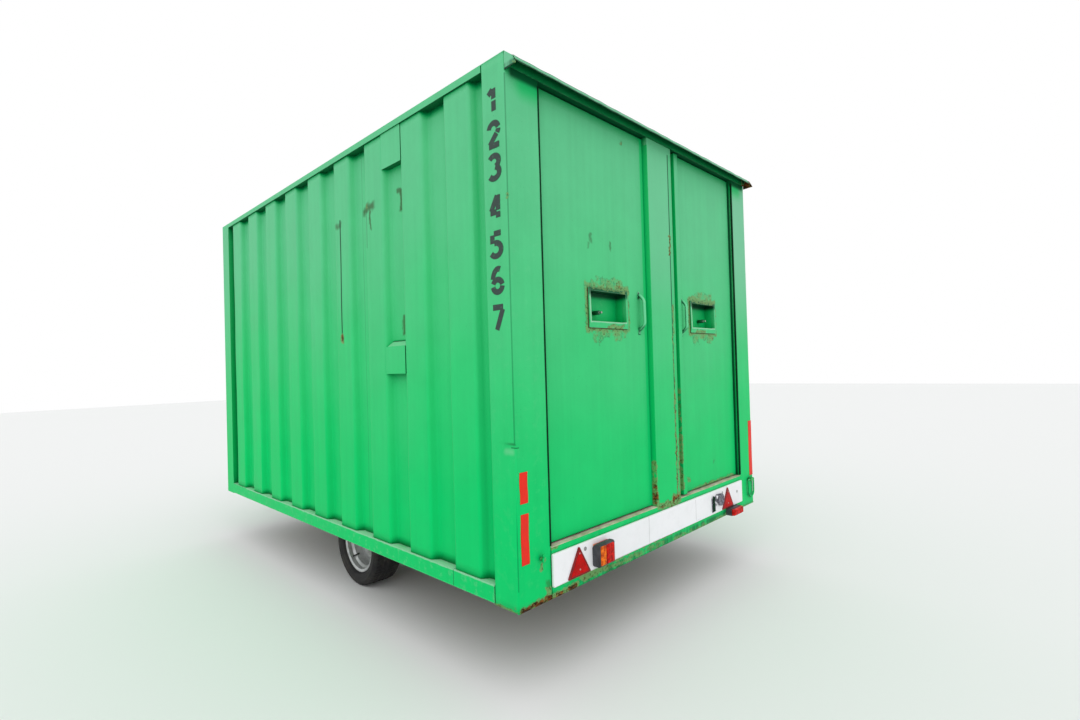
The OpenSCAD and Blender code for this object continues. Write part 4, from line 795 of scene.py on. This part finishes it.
# marking tape on the posts
tapeSettings = {
    "strips": [(-1.128, -1.083, 0.44, 0.569), (-1.128, -1.083, 0.189, 0.397), (1.096, 1.146, 0.198, 0.579)],
    "thickness": 0.0006, "proud": 0.0002, "waver": 0.0012, "cells": 260.0,
    "red": (0.86, 0.022, 0.008), "worn": (0.74, 0.024, 0.01), "cellEdge": (0.35, 0.02, 0.01),
}


def makeTapeFinish(s):
    material, tree, shader, coords = newMaterial("tapeRed")
    cells = add(tree, "TexVoronoi", {"Vector": coords, "Scale": s["cells"]}, feature="DISTANCE_TO_EDGE")
    cells = cells.outputs["Distance"]
    worn = noise(tree, coords, 24.0, 5.0, 0.6)
    colour = blendColour(tree, step(tree, worn, 0.35, 0.75), s["red"], s["worn"])
    colour = blendColour(tree, step(tree, cells, 0.05, 0.0, 0.0, 0.25), colour, s["cellEdge"])
    put(tree, shader, {"Base Color": colour, "Roughness": 0.45, "Specular IOR Level": 0.2})
    raised(tree, shader, plus(tree, cells, times(tree, worn, 0.6)), 0.15, 0.001)
    return material


tapeRed = makeTapeFinish(tapeSettings)
for number, (x0, x1, z0, z1) in enumerate(tapeSettings["strips"]):
    # a rectangle whose long edges waver a little where the strip was smoothed on by hand
    v, u = np.linspace(0, 1, 40)[:, None], np.linspace(0, 1, 9)[None, :]
    x = x0 + (x1 - x0) * u + tapeSettings["waver"] * np.sin(7 * v + number)
    y = rearFace - tapeSettings["proud"] + 0 * u * v
    grid = np.stack([x, y, underside + z0 + (z1 - z0) * v + 0 * u], -1)
    surface(f"tapeStrip{number + 1}", [grid], "cabin", "red_reflector", tapeRed,
            thickness=tapeSettings["thickness"], outward=(0, -1, 0))

# stencilled counting numbers on the left post
stencilSettings = {
    "tops": [2.18, 2.035, 1.898, 1.731, 1.572, 1.422, 1.263], "height": 0.112, "width": 0.082,
    "boxWidth": 0.65, "stroke": 0.0245, "middle": 0.076,
    "sunk": 0.0004,        # the post's face lies a little further in than its box
    "layer": 0.00006,       # between one stroke and the next
    "colour": (0.016, 0.04, 0.032), "thin": (0.08, 0.3, 0.16),
}


def curved(cx, cy, rx, ry, start, end, count=14):
    # part of an ellipse from start to end degrees, in a box one unit high
    a = np.radians(np.linspace(start, end, count))
    return np.stack([cx + rx * np.cos(a), cy + ry * np.sin(a)], 1)


# strokes of 1 to 7 in a box 0.65 wide and 1 high, with the gaps that a cut stencil needs
glyphs = [
    [[(0.1, 0.74), (0.3, 0.9)], [(0.36, 0.92), (0.36, 0.54)], [(0.36, 0.46), (0.36, 0.08)]],
    [curved(0.32, 0.68, 0.23, 0.24, 170, 10), curved(0.32, 0.68, 0.23, 0.24, -6, -40, 5),
     [(0.46, 0.5), (0.12, 0.14)], [(0.08, 0.08), (0.58, 0.08)]],
    [curved(0.3, 0.71, 0.23, 0.21, 150, -70), curved(0.3, 0.29, 0.25, 0.22, 75, -150)],
    [[(0.4, 0.9), (0.1, 0.36)], [(0.06, 0.3), (0.36, 0.3)],
     [(0.44, 0.92), (0.44, 0.36)], [(0.44, 0.3), (0.44, 0.08)]],
    [[(0.54, 0.92), (0.2, 0.92)], [(0.12, 0.88), (0.12, 0.56)], curved(0.28, 0.32, 0.26, 0.25, 105, -150)],
    [curved(0.36, 0.5, 0.27, 0.43, 70, 172), curved(0.32, 0.3, 0.23, 0.23, 160, 10),
     curved(0.32, 0.3, 0.23, 0.23, -4, -172)],
    [[(0.06, 0.92), (0.56, 0.92)], [(0.54, 0.84), (0.24, 0.08)]],
]


def makeStencilFinish(s):
    material, tree, shader, coords = newMaterial("stencilBlack")
    thin = step(tree, noise(tree, coords, 70.0, 6.0, 0.7), 0.56, 0.74, 0.0, 0.55)
    put(tree, shader, {"Base Color": blendColour(tree, thin, s["colour"], s["thin"]), "Roughness": 0.6})
    raised(tree, shader, noise(tree, coords, 300.0, 2.0), 0.15, 0.001)
    return material


def onPost(line, top, sunk, s):
    # numbers are read from the left, so u runs towards the rear edge of the post
    depth = s["middle"] + s["width"] * (0.5 - line[:, 0] / s["boxWidth"])
    level = top - s["height"] * (1 - line[:, 1])
    return np.stack([np.full(len(line), leftSide + sunk), rearFace + depth, underside + level], 1)


def countingNumber(number, top, strokes, s):
    grids = []
    for order, stroke in enumerate(strokes):
        sunk = s["sunk"] - s["layer"] * order
        grids.append(ribbon(stroke, s["stroke"] / s["height"], lambda line: onPost(line, top, sunk, s)))
    surface(f"countingNumber{number}", grids, "cabin", "black_paint", stencilBlack, smooth=False,
            outward=(-1, 0, 0))


stencilBlack = makeStencilFinish(stencilSettings)
for number, (top, strokes) in enumerate(zip(stencilSettings["tops"], glyphs)):
    countingNumber(number + 1, top, strokes, stencilSettings)
print("markings: tape and numbers are on the posts")


# sheet metal with soft bends
def softCorners(points, reach, steps=6):
    # each inner corner P becomes the parabola (1-u)^2 A + 2u(1-u) P + u^2 B, A and B at most reach from P
    points = np.asarray(points, float)
    back, on = points[:-2] - points[1:-1], points[2:] - points[1:-1]
    lengthBack = np.linalg.norm(back, axis=1, keepdims=True)
    lengthOn = np.linalg.norm(on, axis=1, keepdims=True)
    take = np.minimum(reach, 0.45 * np.minimum(lengthBack, lengthOn))
    start, end = points[1:-1] + back / lengthBack * take, points[1:-1] + on / lengthOn * take
    u = np.linspace(0, 1, steps)[None, :, None]
    curve = (1 - u) ** 2 * start[:, None] + 2 * u * (1 - u) * points[1:-1, None] + u ** 2 * end[:, None]
    return np.concatenate([points[:1], curve.reshape(-1, points.shape[1]), points[-1:]])


def denser(line, gap):
    # the same line with points added so that none are further apart than gap
    length = pathLength(line)
    s = np.union1d(length, np.linspace(0, length[-1], int(length[-1] / gap) + 2))
    s = s[np.concatenate([[True], np.diff(s) > 3e-4])]
    s[-1] = length[-1]
    return resampled(line, length, s)


def rise(value, low, high):
    # 0 below low, 1 above high, 3t^2 - 2t^3 between
    t = np.clip((value - low) / (high - low), 0, 1)
    return t * t * (3 - 2 * t)


wallSettings = {"grooveFloor": 0.136, "flank": 0.027, "sheet": 0.003, "bend": 0.013, "wave": 0.001,
                "rows": 48, "gap": 0.026}


def pressedWall(name, node, toSide, ribs, seed, s):
    # depth is a trapezoid wave of the distance along the wall; a slow ripple, 0 at the edges, is added to it
    low, high = (np.array(corner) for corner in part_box(node))
    run = 1 if toSide[0] else 0
    cross = 1 - run
    length, depth = high[run] - low[run], high[cross] - low[cross] - s["sheet"]
    pitch, half, flank = length / ribs, s["grooveFloor"] / 2, s["flank"]
    along = np.arange(ribs)[:, None] * pitch + [[half, half + flank, pitch - half - flank, pitch - half]]
    into = np.tile([depth, 0, 0, depth], (ribs, 1))
    line = np.concatenate([[[0, depth]], np.stack([along.ravel(), into.ravel()], 1), [[length, depth]]])
    line = denser(softCorners(line, s["bend"]), s["gap"])
    level = np.linspace(0, 1, s["rows"])[:, None]
    a = line[None, :, 0] / length
    turn = np.random.default_rng(seed).uniform(0, 6.28, 6)
    ripple = (np.sin(9 * level + turn[0] + 13 * a) + 0.7 * np.sin(17 * level + turn[1] - 31 * a)
              + 0.8 * np.sin(4 * level + turn[2] + 60 * a) + 0.5 * np.sin(23 * level + 47 * a + turn[3]))
    fade = rise(level, 0, 0.06) * rise(1 - level, 0, 0.06) * rise(a, 0, 0.02) * rise(1 - a, 0, 0.02)
    inward = line[None, :, 1] + s["wave"] * (1.2 + 0.8 * ripple) * fade
    grid = np.empty(inward.shape + (3,))
    outer = high[cross] if toSide[cross] > 0 else low[cross]
    grid[..., run] = low[run] + line[None, :, 0]
    grid[..., cross] = outer - toSide[cross] * inward
    grid[..., 2] = low[2] + (high[2] - low[2]) * level
    surface(name, [grid], "cabin", "cabin_paint", wallPaint, [node], thickness=s["sheet"], offset=-1,
            outward=toSide)


pressedWall("leftWallSheet", "side_panel_left", (-1, 0, 0), 9, 3, wallSettings)
pressedWall("rightWallSheet", "side_panel_right", (1, 0, 0), 9, 4, wallSettings)
pressedWall("frontWallSheet", "front_panel", (0, 1, 0), 5, 5, wallSettings)

postSettings = {
    "section": [(0.045, 0.15), (0.0, 0.15), (0.0, 0.0), (0.2, 0.0), (0.2, 0.06)],
    "cap": [(0, 0), (0.2, 0), (0.2, 0.06), (0.06, 0.06), (0.06, 0.15), (0, 0.15)],
    "levels": [(0.22, 0.7, 60), (0.66, 0.7, 14)],    # extra rows round the crease: from, to, count
    "sheet": 0.004, "bend": 0.01, "gap": 0.01, "inset": 0.0002, "wave": 0.0007,
    "creaseTop": 0.697, "creaseLevel": 0.675, "creaseFade": 0.25, "creaseDepth": 0.0085,
    "creaseWide": 0.03, "creaseReach": 0.118,
    "dentTop": 0.46, "dentAcross": 0.15, "dentWide": 0.05, "dentDepth": 0.0016,
}


def foldedPost(name, node, side, crease, s):
    # the folded section carried upwards; at a crease the corner is knocked in, and swells back out below
    # it, and lower still the rear face has a shallow bell-shaped dent
    low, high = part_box(node)
    line = denser(softCorners(s["section"], s["bend"], 7), s["gap"])
    tall = high.z - low.z
    level = np.unique(np.concatenate([np.linspace(*part) for part in [(0, tall, 60)] + s["levels"]]))
    a, b, z = line[None, :, 0], line[None, :, 1], level[:, None]
    swell = np.clip((z - s["creaseFade"]) / (s["creaseLevel"] - s["creaseFade"]), 0, 1)
    knocked = rise(s["creaseTop"] - z, 0.0, 0.02) * swell
    near = np.exp(-(a / s["creaseWide"]) ** 2) * (1 - rise(b, 0.0, s["creaseReach"]))
    ripple = np.sin(6 * z + 30 * a) * np.sin(21 * a + 25 * b + 2.0 * z) + 0.8 * np.sin(13 * z + 40 * b)
    edge = rise(z, 0, 0.05) * rise(tall - z, 0, 0.05)
    bow = s["wave"] * (1.7 + 0.5 * ripple) * edge * (b < 0.149) * (b > 0.001)
    shift = crease * s["creaseDepth"] * knocked * near + bow
    dent = rise(s["dentTop"] - z, 0, 0.03) * np.exp(-((a - s["dentAcross"]) / s["dentWide"]) ** 2)
    sink = s["wave"] * (0.9 + 0.5 * ripple) * edge * (b < 0.001) + crease * s["dentDepth"] * dent * edge
    x = (low.x + a + shift) if side < 0 else (high.x - a - shift)
    height = low.z + s["inset"] + z * (1 - 2 * s["inset"] / tall)
    grid = np.stack([x + 0 * z, low.y + b + sink + 0 * z, height + 0 * a], -1)
    surface(name, [grid], "cabin", "cabin_paint", postPaint, [node], thickness=s["sheet"], offset=-1,
            outward=(0, -1, 0))
    for end, z, up in (("Top", high.z - s["inset"], 1), ("Foot", low.z + s["inset"], -1)):
        corners = [(low.x + a if side < 0 else high.x - a, low.y + b, z) for a, b in s["cap"]]
        mesh = bpy.data.meshes.new(name + end)
        mesh.from_pydata(corners, [], [tuple(range(len(corners)))])
        finishPiece(name + end, mesh, "cabin", "cabin_paint", postPaint, smooth=False, thickness=s["sheet"],
                    offset=-1, outward=(0, 0, up))


foldedPost("leftPostFold", "rear_post_left", -1, 1.0, postSettings)
foldedPost("rightPostFold", "rear_post_right", 1, 0.0, postSettings)
print("body: walls and posts are folded")

# tyres
tyreSettings = {
    "side": [(0.1652, 0.05), (0.1652, 0.0697), (0.179, 0.07), (0.183, 0.079), (0.19, 0.087),
             (0.1915, 0.0895), (0.1945, 0.089), (0.205, 0.096), (0.218, 0.1), (0.23, 0.099),
             (0.232, 0.1004), (0.235, 0.1), (0.237, 0.0975), (0.248, 0.092), (0.256, 0.0855),
             (0.2605, 0.08)],    # radius and distance from the middle plane, from the bead outwards
    "outer": 0.262, "flat": 0.076, "crown": 0.001, "bead": 0.1652, "thick": 0.01, "steps": 396,
    "treadRadius": 0.2555, "treadHalf": 0.0858, "grooves": (0.016, 0.046), "grooveHalf": 0.0042,
    "grooveDepth": 0.007,
    "blocks": 66, "slant": 55, "shoulder": (0.049, 0.053), "blockDepth": 0.0055, "sipeDepth": 0.003,
}


def middleOf(node):
    low, high = (np.array(corner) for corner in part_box(node))
    return (low + high) / 2


def tyreSkin(name, node, body, s):
    # radius and offset of the section, turned about the hub; the shoulders are cut into blocks and the
    # middle is nicked where the sine of a slanting phase is high
    centre = middleOf(node)
    wall = np.array(s["side"])
    sides = np.array([-1.25, -0.95, 0.95, 1.25]) * s["grooveHalf"]
    grooves = [sign * g + sides for g in s["grooves"] for sign in (-1, 1)]
    flat = np.unique(np.concatenate([np.linspace(-s["flat"], s["flat"], 25)] + grooves))[::-1]
    tread = np.stack([s["outer"] - s["crown"] * (flat / s["flat"]) ** 4, flat], 1)
    inner = wall[::-1][1:-1] - s["thick"]
    inner = inner[inner[:, 0] > s["bead"] + 0.012]
    mirrored = [(part * [1, -1])[::-1] for part in (wall, inner)]
    outline = np.concatenate([wall, tread, *mirrored, inner, wall[:1]])
    r, w = outline[:, 0][None], outline[:, 1][None]
    angle = np.linspace(0, 2 * np.pi, s["steps"] + 1)[:, None]
    onTread = (r > s["treadRadius"]) * (np.abs(w) < s["treadHalf"])
    ring = sum(np.exp(-((np.abs(w) - g) / s["grooveHalf"]) ** 6) for g in s["grooves"])
    shoulder = rise(np.abs(w), *s["shoulder"])
    phase = s["blocks"] * angle + np.where(w > 0, 1.0, -1.0) * s["slant"] * np.abs(w)
    cut = shoulder * rise(np.sin(phase), 0.45, 0.75) * s["blockDepth"]
    cut = cut + (1 - shoulder) * rise(np.sin(phase + 2.0 * np.sign(w)), 0.78, 0.95) * s["sipeDepth"]
    radius = r - onTread * np.maximum(ring * s["grooveDepth"], cut)
    grid = centre + np.stack([w + 0 * angle, radius * np.cos(angle), radius * np.sin(angle)], -1)
    surface(name, [grid], body, "tyre", finish["tyreRubber"], [node], closed=True)


valveSettings = {
    "profile": [(0, 0), (0.006, 0), (0.006, 0.01), (0.0042, 0.014), (0.0042, 0.034), (0.005, 0.0345),
                (0.005, 0.044), (0, 0.046)],
    "out": 0.02, "fromHub": 0.098, "lean": 0.25,
}
for side, sign in (("left", -1), ("right", 1)):
    tyreSkin(side + "TyreTread", "tyre_" + side, "wheel_" + side, tyreSettings)
    # the valve stem stands on the outer face of the wheel and leans away from the hub
    s = valveSettings
    foot = middleOf("tyre_" + side) + [sign * s["out"], s["fromHub"], -s["fromHub"]]
    stem = turned(s["profile"], foot, (sign, s["lean"], -s["lean"]), 16)
    surface(side + "ValveStem", [stem], "wheel_" + side, "jockey_rubber", finish["jockeyRubber"], closed=True)
print("wheels: tyres have tread")


# small solid fittings
def slab(name, outline, start, end, body, slot, material, bevel=0.001, replaces=(), plane=(0, 2)):
    # a flat outline in the plane of two axes, pushed along the third from start to end, its edges bevelled
    outline = np.asarray(outline, float)
    count = len(outline)
    corners = np.zeros((2 * count, 3))
    for side, level in ((0, start), (1, end)):
        part = corners[side * count:(side + 1) * count]
        part[:, plane[0]], part[:, plane[1]], part[:, 3 - sum(plane)] = outline[:, 0], outline[:, 1], level
    ring = np.arange(count)
    sides = np.stack([ring, np.roll(ring, -1), np.roll(ring, -1) + count, ring + count], 1)
    mesh = bpy.data.meshes.new(name)
    mesh.from_pydata(corners.tolist(), [], sides.tolist() + [ring[::-1].tolist(), (ring + count).tolist()])
    piece = finishPiece(name, mesh, body, slot, material, replaces, smooth=False, closed=True)
    edge = piece.modifiers.new("softEdges", "BEVEL")
    edge.width, edge.segments, edge.limit_method, edge.angle_limit = bevel, 3, "ANGLE", math.radians(30)


def loop(points, reach):
    # a closed outline with every corner rounded
    points = np.asarray(points, float)
    start = (points[0] + points[1]) / 2
    return softCorners(np.concatenate([[start], points[1:], points[:1], [start]]), reach, 5)[:-1]


def rectangle(x0, x1, z0, z1):
    return [(x0, z0), (x1, z0), (x1, z1), (x0, z1)]


def pillow(node, ribs, ribDeep, power, count):
    # over the node's box: depth times (1 - |u|^power)^(1/3) (1 - |v|^power)^(1/3), with cosine ribs across x
    low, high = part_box(node)
    bend = np.sin(np.linspace(-1, 1, count) * np.pi / 2)
    u, v = bend[:, None], bend[None, :]
    depth = high.y - low.y
    inside = np.clip(1 - np.abs(u) ** power, 0, 1) * np.clip(1 - np.abs(v) ** power, 0, 1)
    height = depth * inside ** (1 / 3)
    x = low.x + (high.x - low.x) * (u + 1) / 2 + 0 * v
    z = low.z + (high.z - low.z) * (v + 1) / 2 + 0 * u
    ripple = 0.5 + 0.5 * np.cos(2 * np.pi * (x - low.x) / ribs)
    height = height - (height > depth * 0.9) * ribDeep * ripple
    return [np.stack([x, high.y - height, z], -1), np.stack([x, high.y + 0 * height, z], -1)[::-1]]


def screws(name, places, size, body="cabin", slot="bright_steel", look="brightSteel"):
    # low domes facing the rear: the radius falls as the height rises along a quarter of an ellipse
    radius, height = size
    t = np.linspace(0, np.pi / 2, 5)
    dome = np.stack([radius * np.cos(t), height * (0.35 + 0.65 * np.sin(t))], 1)
    profile = np.concatenate([[(0, 0), (radius, 0)], dome])
    domes = [turned(profile, place, (0, -1, 0), 14) for place in places]
    surface(name, domes, body, slot, finish[look], closed=True)


# pull handles
handleSettings = {
    "path": [(0.001, 0.095), (0.009, 0.091), (0.0345, 0.066), (0.0362, -0.066), (0.009, -0.091),
             (0.001, -0.095)],
    "middle": 1.657, "half": 0.0086, "deep": 0.0078, "bend": 0.022,
    "foot": 0.0965, "footHalf": 0.0105, "footTall": 0.017, "footFrom": 0.003, "footTo": 0.0003,
    "screw": 0.1045, "screwOut": 0.0026, "screwSize": (0.0046, 0.0024),
}


def barAlong(x, path, half, deep):
    # an ellipse carried along a path of (distance out, height) at a constant x; both ends close to a point
    line = np.stack([np.full(len(path), x), doorFace - path[:, 0], path[:, 1]], 1)
    run = np.gradient(line, axis=0)
    run /= np.linalg.norm(run, axis=1, keepdims=True)
    up = np.cross(run, (1.0, 0, 0))
    size = np.ones(len(path))
    size[[0, -1]] = 0
    angle = np.linspace(0, 2 * np.pi, 21)[None, :, None]
    ring = np.cos(angle) * half * np.array([1.0, 0, 0]) + np.sin(angle) * deep * up[:, None]
    return line[:, None] + size[:, None, None] * ring


def pullHandle(side, x, s):
    body = "door_" + side
    bow = denser(softCorners(np.array(s["path"]) + (0, s["middle"]), s["bend"], 9), 0.004)
    surface(side + "HandleBow", [barAlong(x, bow, s["half"], s["deep"])], body, "cabin_paint", handlePaint,
            ["pull_handle_" + side], closed=True)
    for end, sign in (("Upper", 1), ("Lower", -1)):
        z = s["middle"] + sign * s["foot"]
        foot = rectangle(x - s["footHalf"], x + s["footHalf"], z - s["footTall"], z + s["footTall"])
        slab(f"{side}Handle{end}Foot", loop(foot, 0.008), doorFace - s["footFrom"],
             doorFace + s["footTo"], body, "cabin_paint", handlePaint)
    places = [(x, doorFace - s["screwOut"], s["middle"] + sign * s["screw"]) for sign in (-1, 1)]
    screws(side + "HandleScrews", places, s["screwSize"], body, "black_paint", "blackPaint")


for side, x in handleMiddle.items():
    pullHandle(side, x, handleSettings)

# sleeves round the lock spindles
sleeveSettings = {"x": {"left": -0.503, "right": 0.581}, "z": 1.643, "back": -2.33,
                  "profile": [(0, 0), (0.0108, 0), (0.0108, 0.037), (0.0093, 0.039), (0, 0.0395)]}
for side, x in sleeveSettings["x"].items():
    s = sleeveSettings
    sleeve = turned(s["profile"], (x, s["back"], s["z"]), (0, -1, 0), 28)
    surface(side + "SpindleSleeve", [sleeve], "spindle_" + side, "cabin_paint", finish["darkGreenPaint"],
            closed=True)

# weld down the left side and along the foot of each lock pocket
weldSettings = {"out": 0.0008, "proud": 0.0006, "topShort": 0.006, "endShort": 0.004, "radius": 0.0019,
                "pitch": 0.005}
for side in ("left", "right"):
    s = weldSettings
    low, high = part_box("lock_box_" + side)
    x, y, z = low.x - s["out"], doorFace - s["proud"], low.z - s["out"]
    corner = np.array([(x, y, high.z - s["topShort"]), (x, y, z), (high.x - s["endShort"], y, z)])
    weld = bead(denser(corner, 0.01), s["radius"], 11, s["pitch"])
    surface(side + "PocketWeld", [weld], "door_" + side, "cabin_paint", finish["rustedSteel"], closed=True)

# canopy edge
lapSettings = {
    "lip": [(0.048, 0.0362), (0.0502, 0.0385), (0.056, 0.0486), (0.0612, 0.0575), (0.0618, 0.06),
            (0.0606, 0.0612)],    # out from the rear face and down from the top
    "top": 2.3008, "sheet": 0.0011, "wave": 0.0008, "from": -1.147, "to": 1.1, "columns": 220,
}
cornerSettings = {"from": 1.098, "wide": 0.0505, "out": 0.0475, "outMost": 0.066, "down": 0.036,
                  "top": 2.301, "sheet": 0.001}


def lapStrip(name, s):
    # the lip's profile carried along x; each place is pushed out by a slow sum of two sines
    x = np.linspace(s["from"], s["to"], s["columns"])[:, None]
    profile = denser(softCorners(s["lip"], 0.003, 3), 0.004)[None]
    push = s["wave"] * (np.sin(9 * x) * np.sin(31 * x + 1) + 0.5 * np.sin(53 * x))
    y = rearFace - profile[..., 0] - push
    grid = np.stack([x + 0 * y, y, underside + s["top"] - profile[..., 1] + 0.5 * push], -1)
    surface(name, [grid], "cabin", "cabin_paint", canopyPaint, thickness=s["sheet"], outward=(0, -1, 0))


def bentCorner(name, s):
    # a square of sheet: u along the canopy, v down its lip; it sags and twists out with u squared
    u, v = np.linspace(0, 1, 22)[:, None], np.linspace(0, 1, 16)[None, :]
    x = s["from"] + s["wide"] * u + 0 * v
    out = s["out"] + 0.0145 * v + 0.0045 * u ** 2 * v + 0.0012 * np.sin(17 * u + 9 * v)
    down = s["down"] + 0.024 * v + 0.0165 * u ** 2 * v + 0.003 * u * np.sin(6 * v)
    grid = np.stack([x, rearFace - np.minimum(out, s["outMost"]), underside + s["top"] - down], -1)
    surface(name, [grid], "cabin", "cabin_paint", finish["rustedSteel"], thickness=s["sheet"],
            outward=(0, -1, 0))


lapStrip("canopyLapStrip", lapSettings)
bentCorner("canopyBentCorner", cornerSettings)

# rubber strips beside the doors; their near-black is painted shade of the hinge gaps as well as rubber
stripSettings = {"x": {"left": -0.953, "right": 0.953}, "half": 0.0045, "from": 0.228, "to": 2.222,
                 "out": 0.0008, "in": 0.01}
for side, x in stripSettings["x"].items():
    s = stripSettings
    strip = rectangle(x - s["half"], x + s["half"], underside + s["from"], underside + s["to"])
    slab(side + "HingeStrip", strip, rearFace - s["out"], rearFace + s["in"], "cabin", "black_paint",
         finish["stripRubber"], bevel=0.0006)

# light board
low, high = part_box("light_board")
boardFace = low.y
slab("lightBoardPanel", loop(rectangle(low.x, high.x, low.z, high.z), 0.007), low.y, high.y, "cabin",
     "white_board", finish["boardPaint"], bevel=0.0022, replaces=["light_board"])


def triangle(x, low, high, half, scale):
    # corners scaled about the middle of the triangle
    corners = np.array([(x - half, low), (x + half, low), (x, high)])
    middle = corners.mean(0)
    return loop(middle + (corners - middle) * scale, 0.01 * scale)


reflectorSettings = {"x": {"left": -0.785, "right": 0.714}, "half": 0.08, "face": -2.4353, "lens": 0.79,
                     "screwSize": (0.0042, 0.0016),
                     "screws": [(0.0002, 0.03), (0.0008, 0.102)]}    # in from the face, up from the foot
low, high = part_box("triangle_reflectors")
for side, x in reflectorSettings["x"].items():
    s = reflectorSettings
    frameLoop, lensLoop = (triangle(x, low.z, high.z, s["half"], scale) for scale in (1.0, s["lens"]))
    slab(side + "ReflectorFrame", frameLoop, s["face"] + 0.0012, high.y, "cabin", "red_reflector",
         finish["reflectorDark"], bevel=0.0012, replaces=["triangle_reflectors"] if side == "left" else ())
    slab(side + "ReflectorLens", lensLoop, s["face"], high.y - 0.002, "cabin", "red_reflector",
         finish["reflectorRed"], bevel=0.0006)
    places = [(x, s["face"] + depth, low.z + height) for depth, height in s["screws"]]
    screws(side + "ReflectorScrews", places, s["screwSize"])

washerSettings = {
    "places": [(-0.737, 0.163), (0.648, 0.16), (0.861, 0.131)],    # across, and up from the underside
    "profile": [(0.0042, 0), (0.0095, 0), (0.0095, 0.0012), (0.0088, 0.0016), (0.0042, 0.0016), (0.0042, 0)],
    "in": 0.0002, "screwSize": (0.0052, 0.0034),
}
screwPlaces = [(x, boardFace, underside + z) for x, z in washerSettings["places"]]
washers = [turned(washerSettings["profile"], (x, y + washerSettings["in"], z), (0, -1, 0), 20)
           for x, y, z in screwPlaces]
surface("boardWashers", washers, "cabin", "bright_steel", finish["galvanised"], closed=True)
screws("boardScrews", screwPlaces, washerSettings["screwSize"])

# lamps
low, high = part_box("lamp_housing_left")
side = [(high.y, low.z + 0.004), (high.y, high.z - 0.018), (high.y - 0.014, high.z), (low.y + 0.006, high.z),
        (low.y, high.z - 0.006), (low.y, low.z + 0.006), (low.y + 0.006, low.z), (high.y - 0.006, low.z)]
slab("tailLampHousing", loop(side, 0.007), low.x, high.x, "cabin", "dark_plastic", finish["lampBlack"],
     bevel=0.0028, replaces=["lamp_housing_left"], plane=(1, 2))
lensSettings = [    # last come the pitch and depth of the ribs, the power and the points along each side
    ("amberLampLens", "lamp_lens_amber", "amberLens", "amber_lens", (0.0042, 0.0007, 14, 72)),
    ("redLampLens", "lamp_lens_red", "redLens", "red_lens", (0.0042, 0.0007, 14, 72)),
    ("markerLampLens", "marker_lamp_lens", "redLens", "red_lens", (0.006, 0.001, 8, 96))]
for name, node, colour, slot, shape in lensSettings:
    surface(name, pillow(node, *shape), "cabin", slot, finish[colour], [node], closed=True)
boltSettings = {"places": [(0.735, -2.4145, 0.4285), (0.845, -2.4145, 0.4285)], "size": (0.005, 0.004)}
screws("markerLampBolts", boltSettings["places"], boltSettings["size"])

# what is left of the right-hand lamp: a bowl, a rim of black plastic and splinters of its lens
brokenSettings = {
    "x": 0.606, "z": 0.508, "in": 0.002,
    "bowl": [(0, 0.0006), (0.016, 0.001), (0.03, 0.0042), (0.0355, 0.0085), (0.038, 0.009), (0.038, 0.0),
             (0, 0.0)],
    "splinters": [
        [(0.5, 0.448), (0.532, 0.45), (0.522, 0.474), (0.528, 0.502), (0.502, 0.5)],
        [(0.534, 0.456), (0.552, 0.452), (0.538, 0.486)],
        [(0.502, 0.504), (0.52, 0.506), (0.53, 0.532), (0.516, 0.546), (0.504, 0.542)],
        [(0.552, 0.52), (0.57, 0.535), (0.546, 0.545)]],
    "proud": 0.0016, "layer": 0.0006,
}


def brokenLamp(s):
    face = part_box("broken_lamp_base")[0].y
    bowl = turned(s["bowl"], (s["x"], face + s["in"], s["z"]), (0, -1, 0), 40)
    surface("brokenLampBowl", [bowl], "cabin", "dark_plastic", finish["brokenGrey"], closed=True)
    for number, corners in enumerate(s["splinters"]):
        front = face - s["proud"] - s["layer"] * number
        slab(f"lampSplinter{number + 1}", corners, front, face + 0.001, "cabin", "dark_plastic",
             finish["boardPaint" if number % 2 else "stripRubber"], bevel=0.0004)


brokenLamp(brokenSettings)
print("fittings: handles, canopy edge, board and lamps are on")
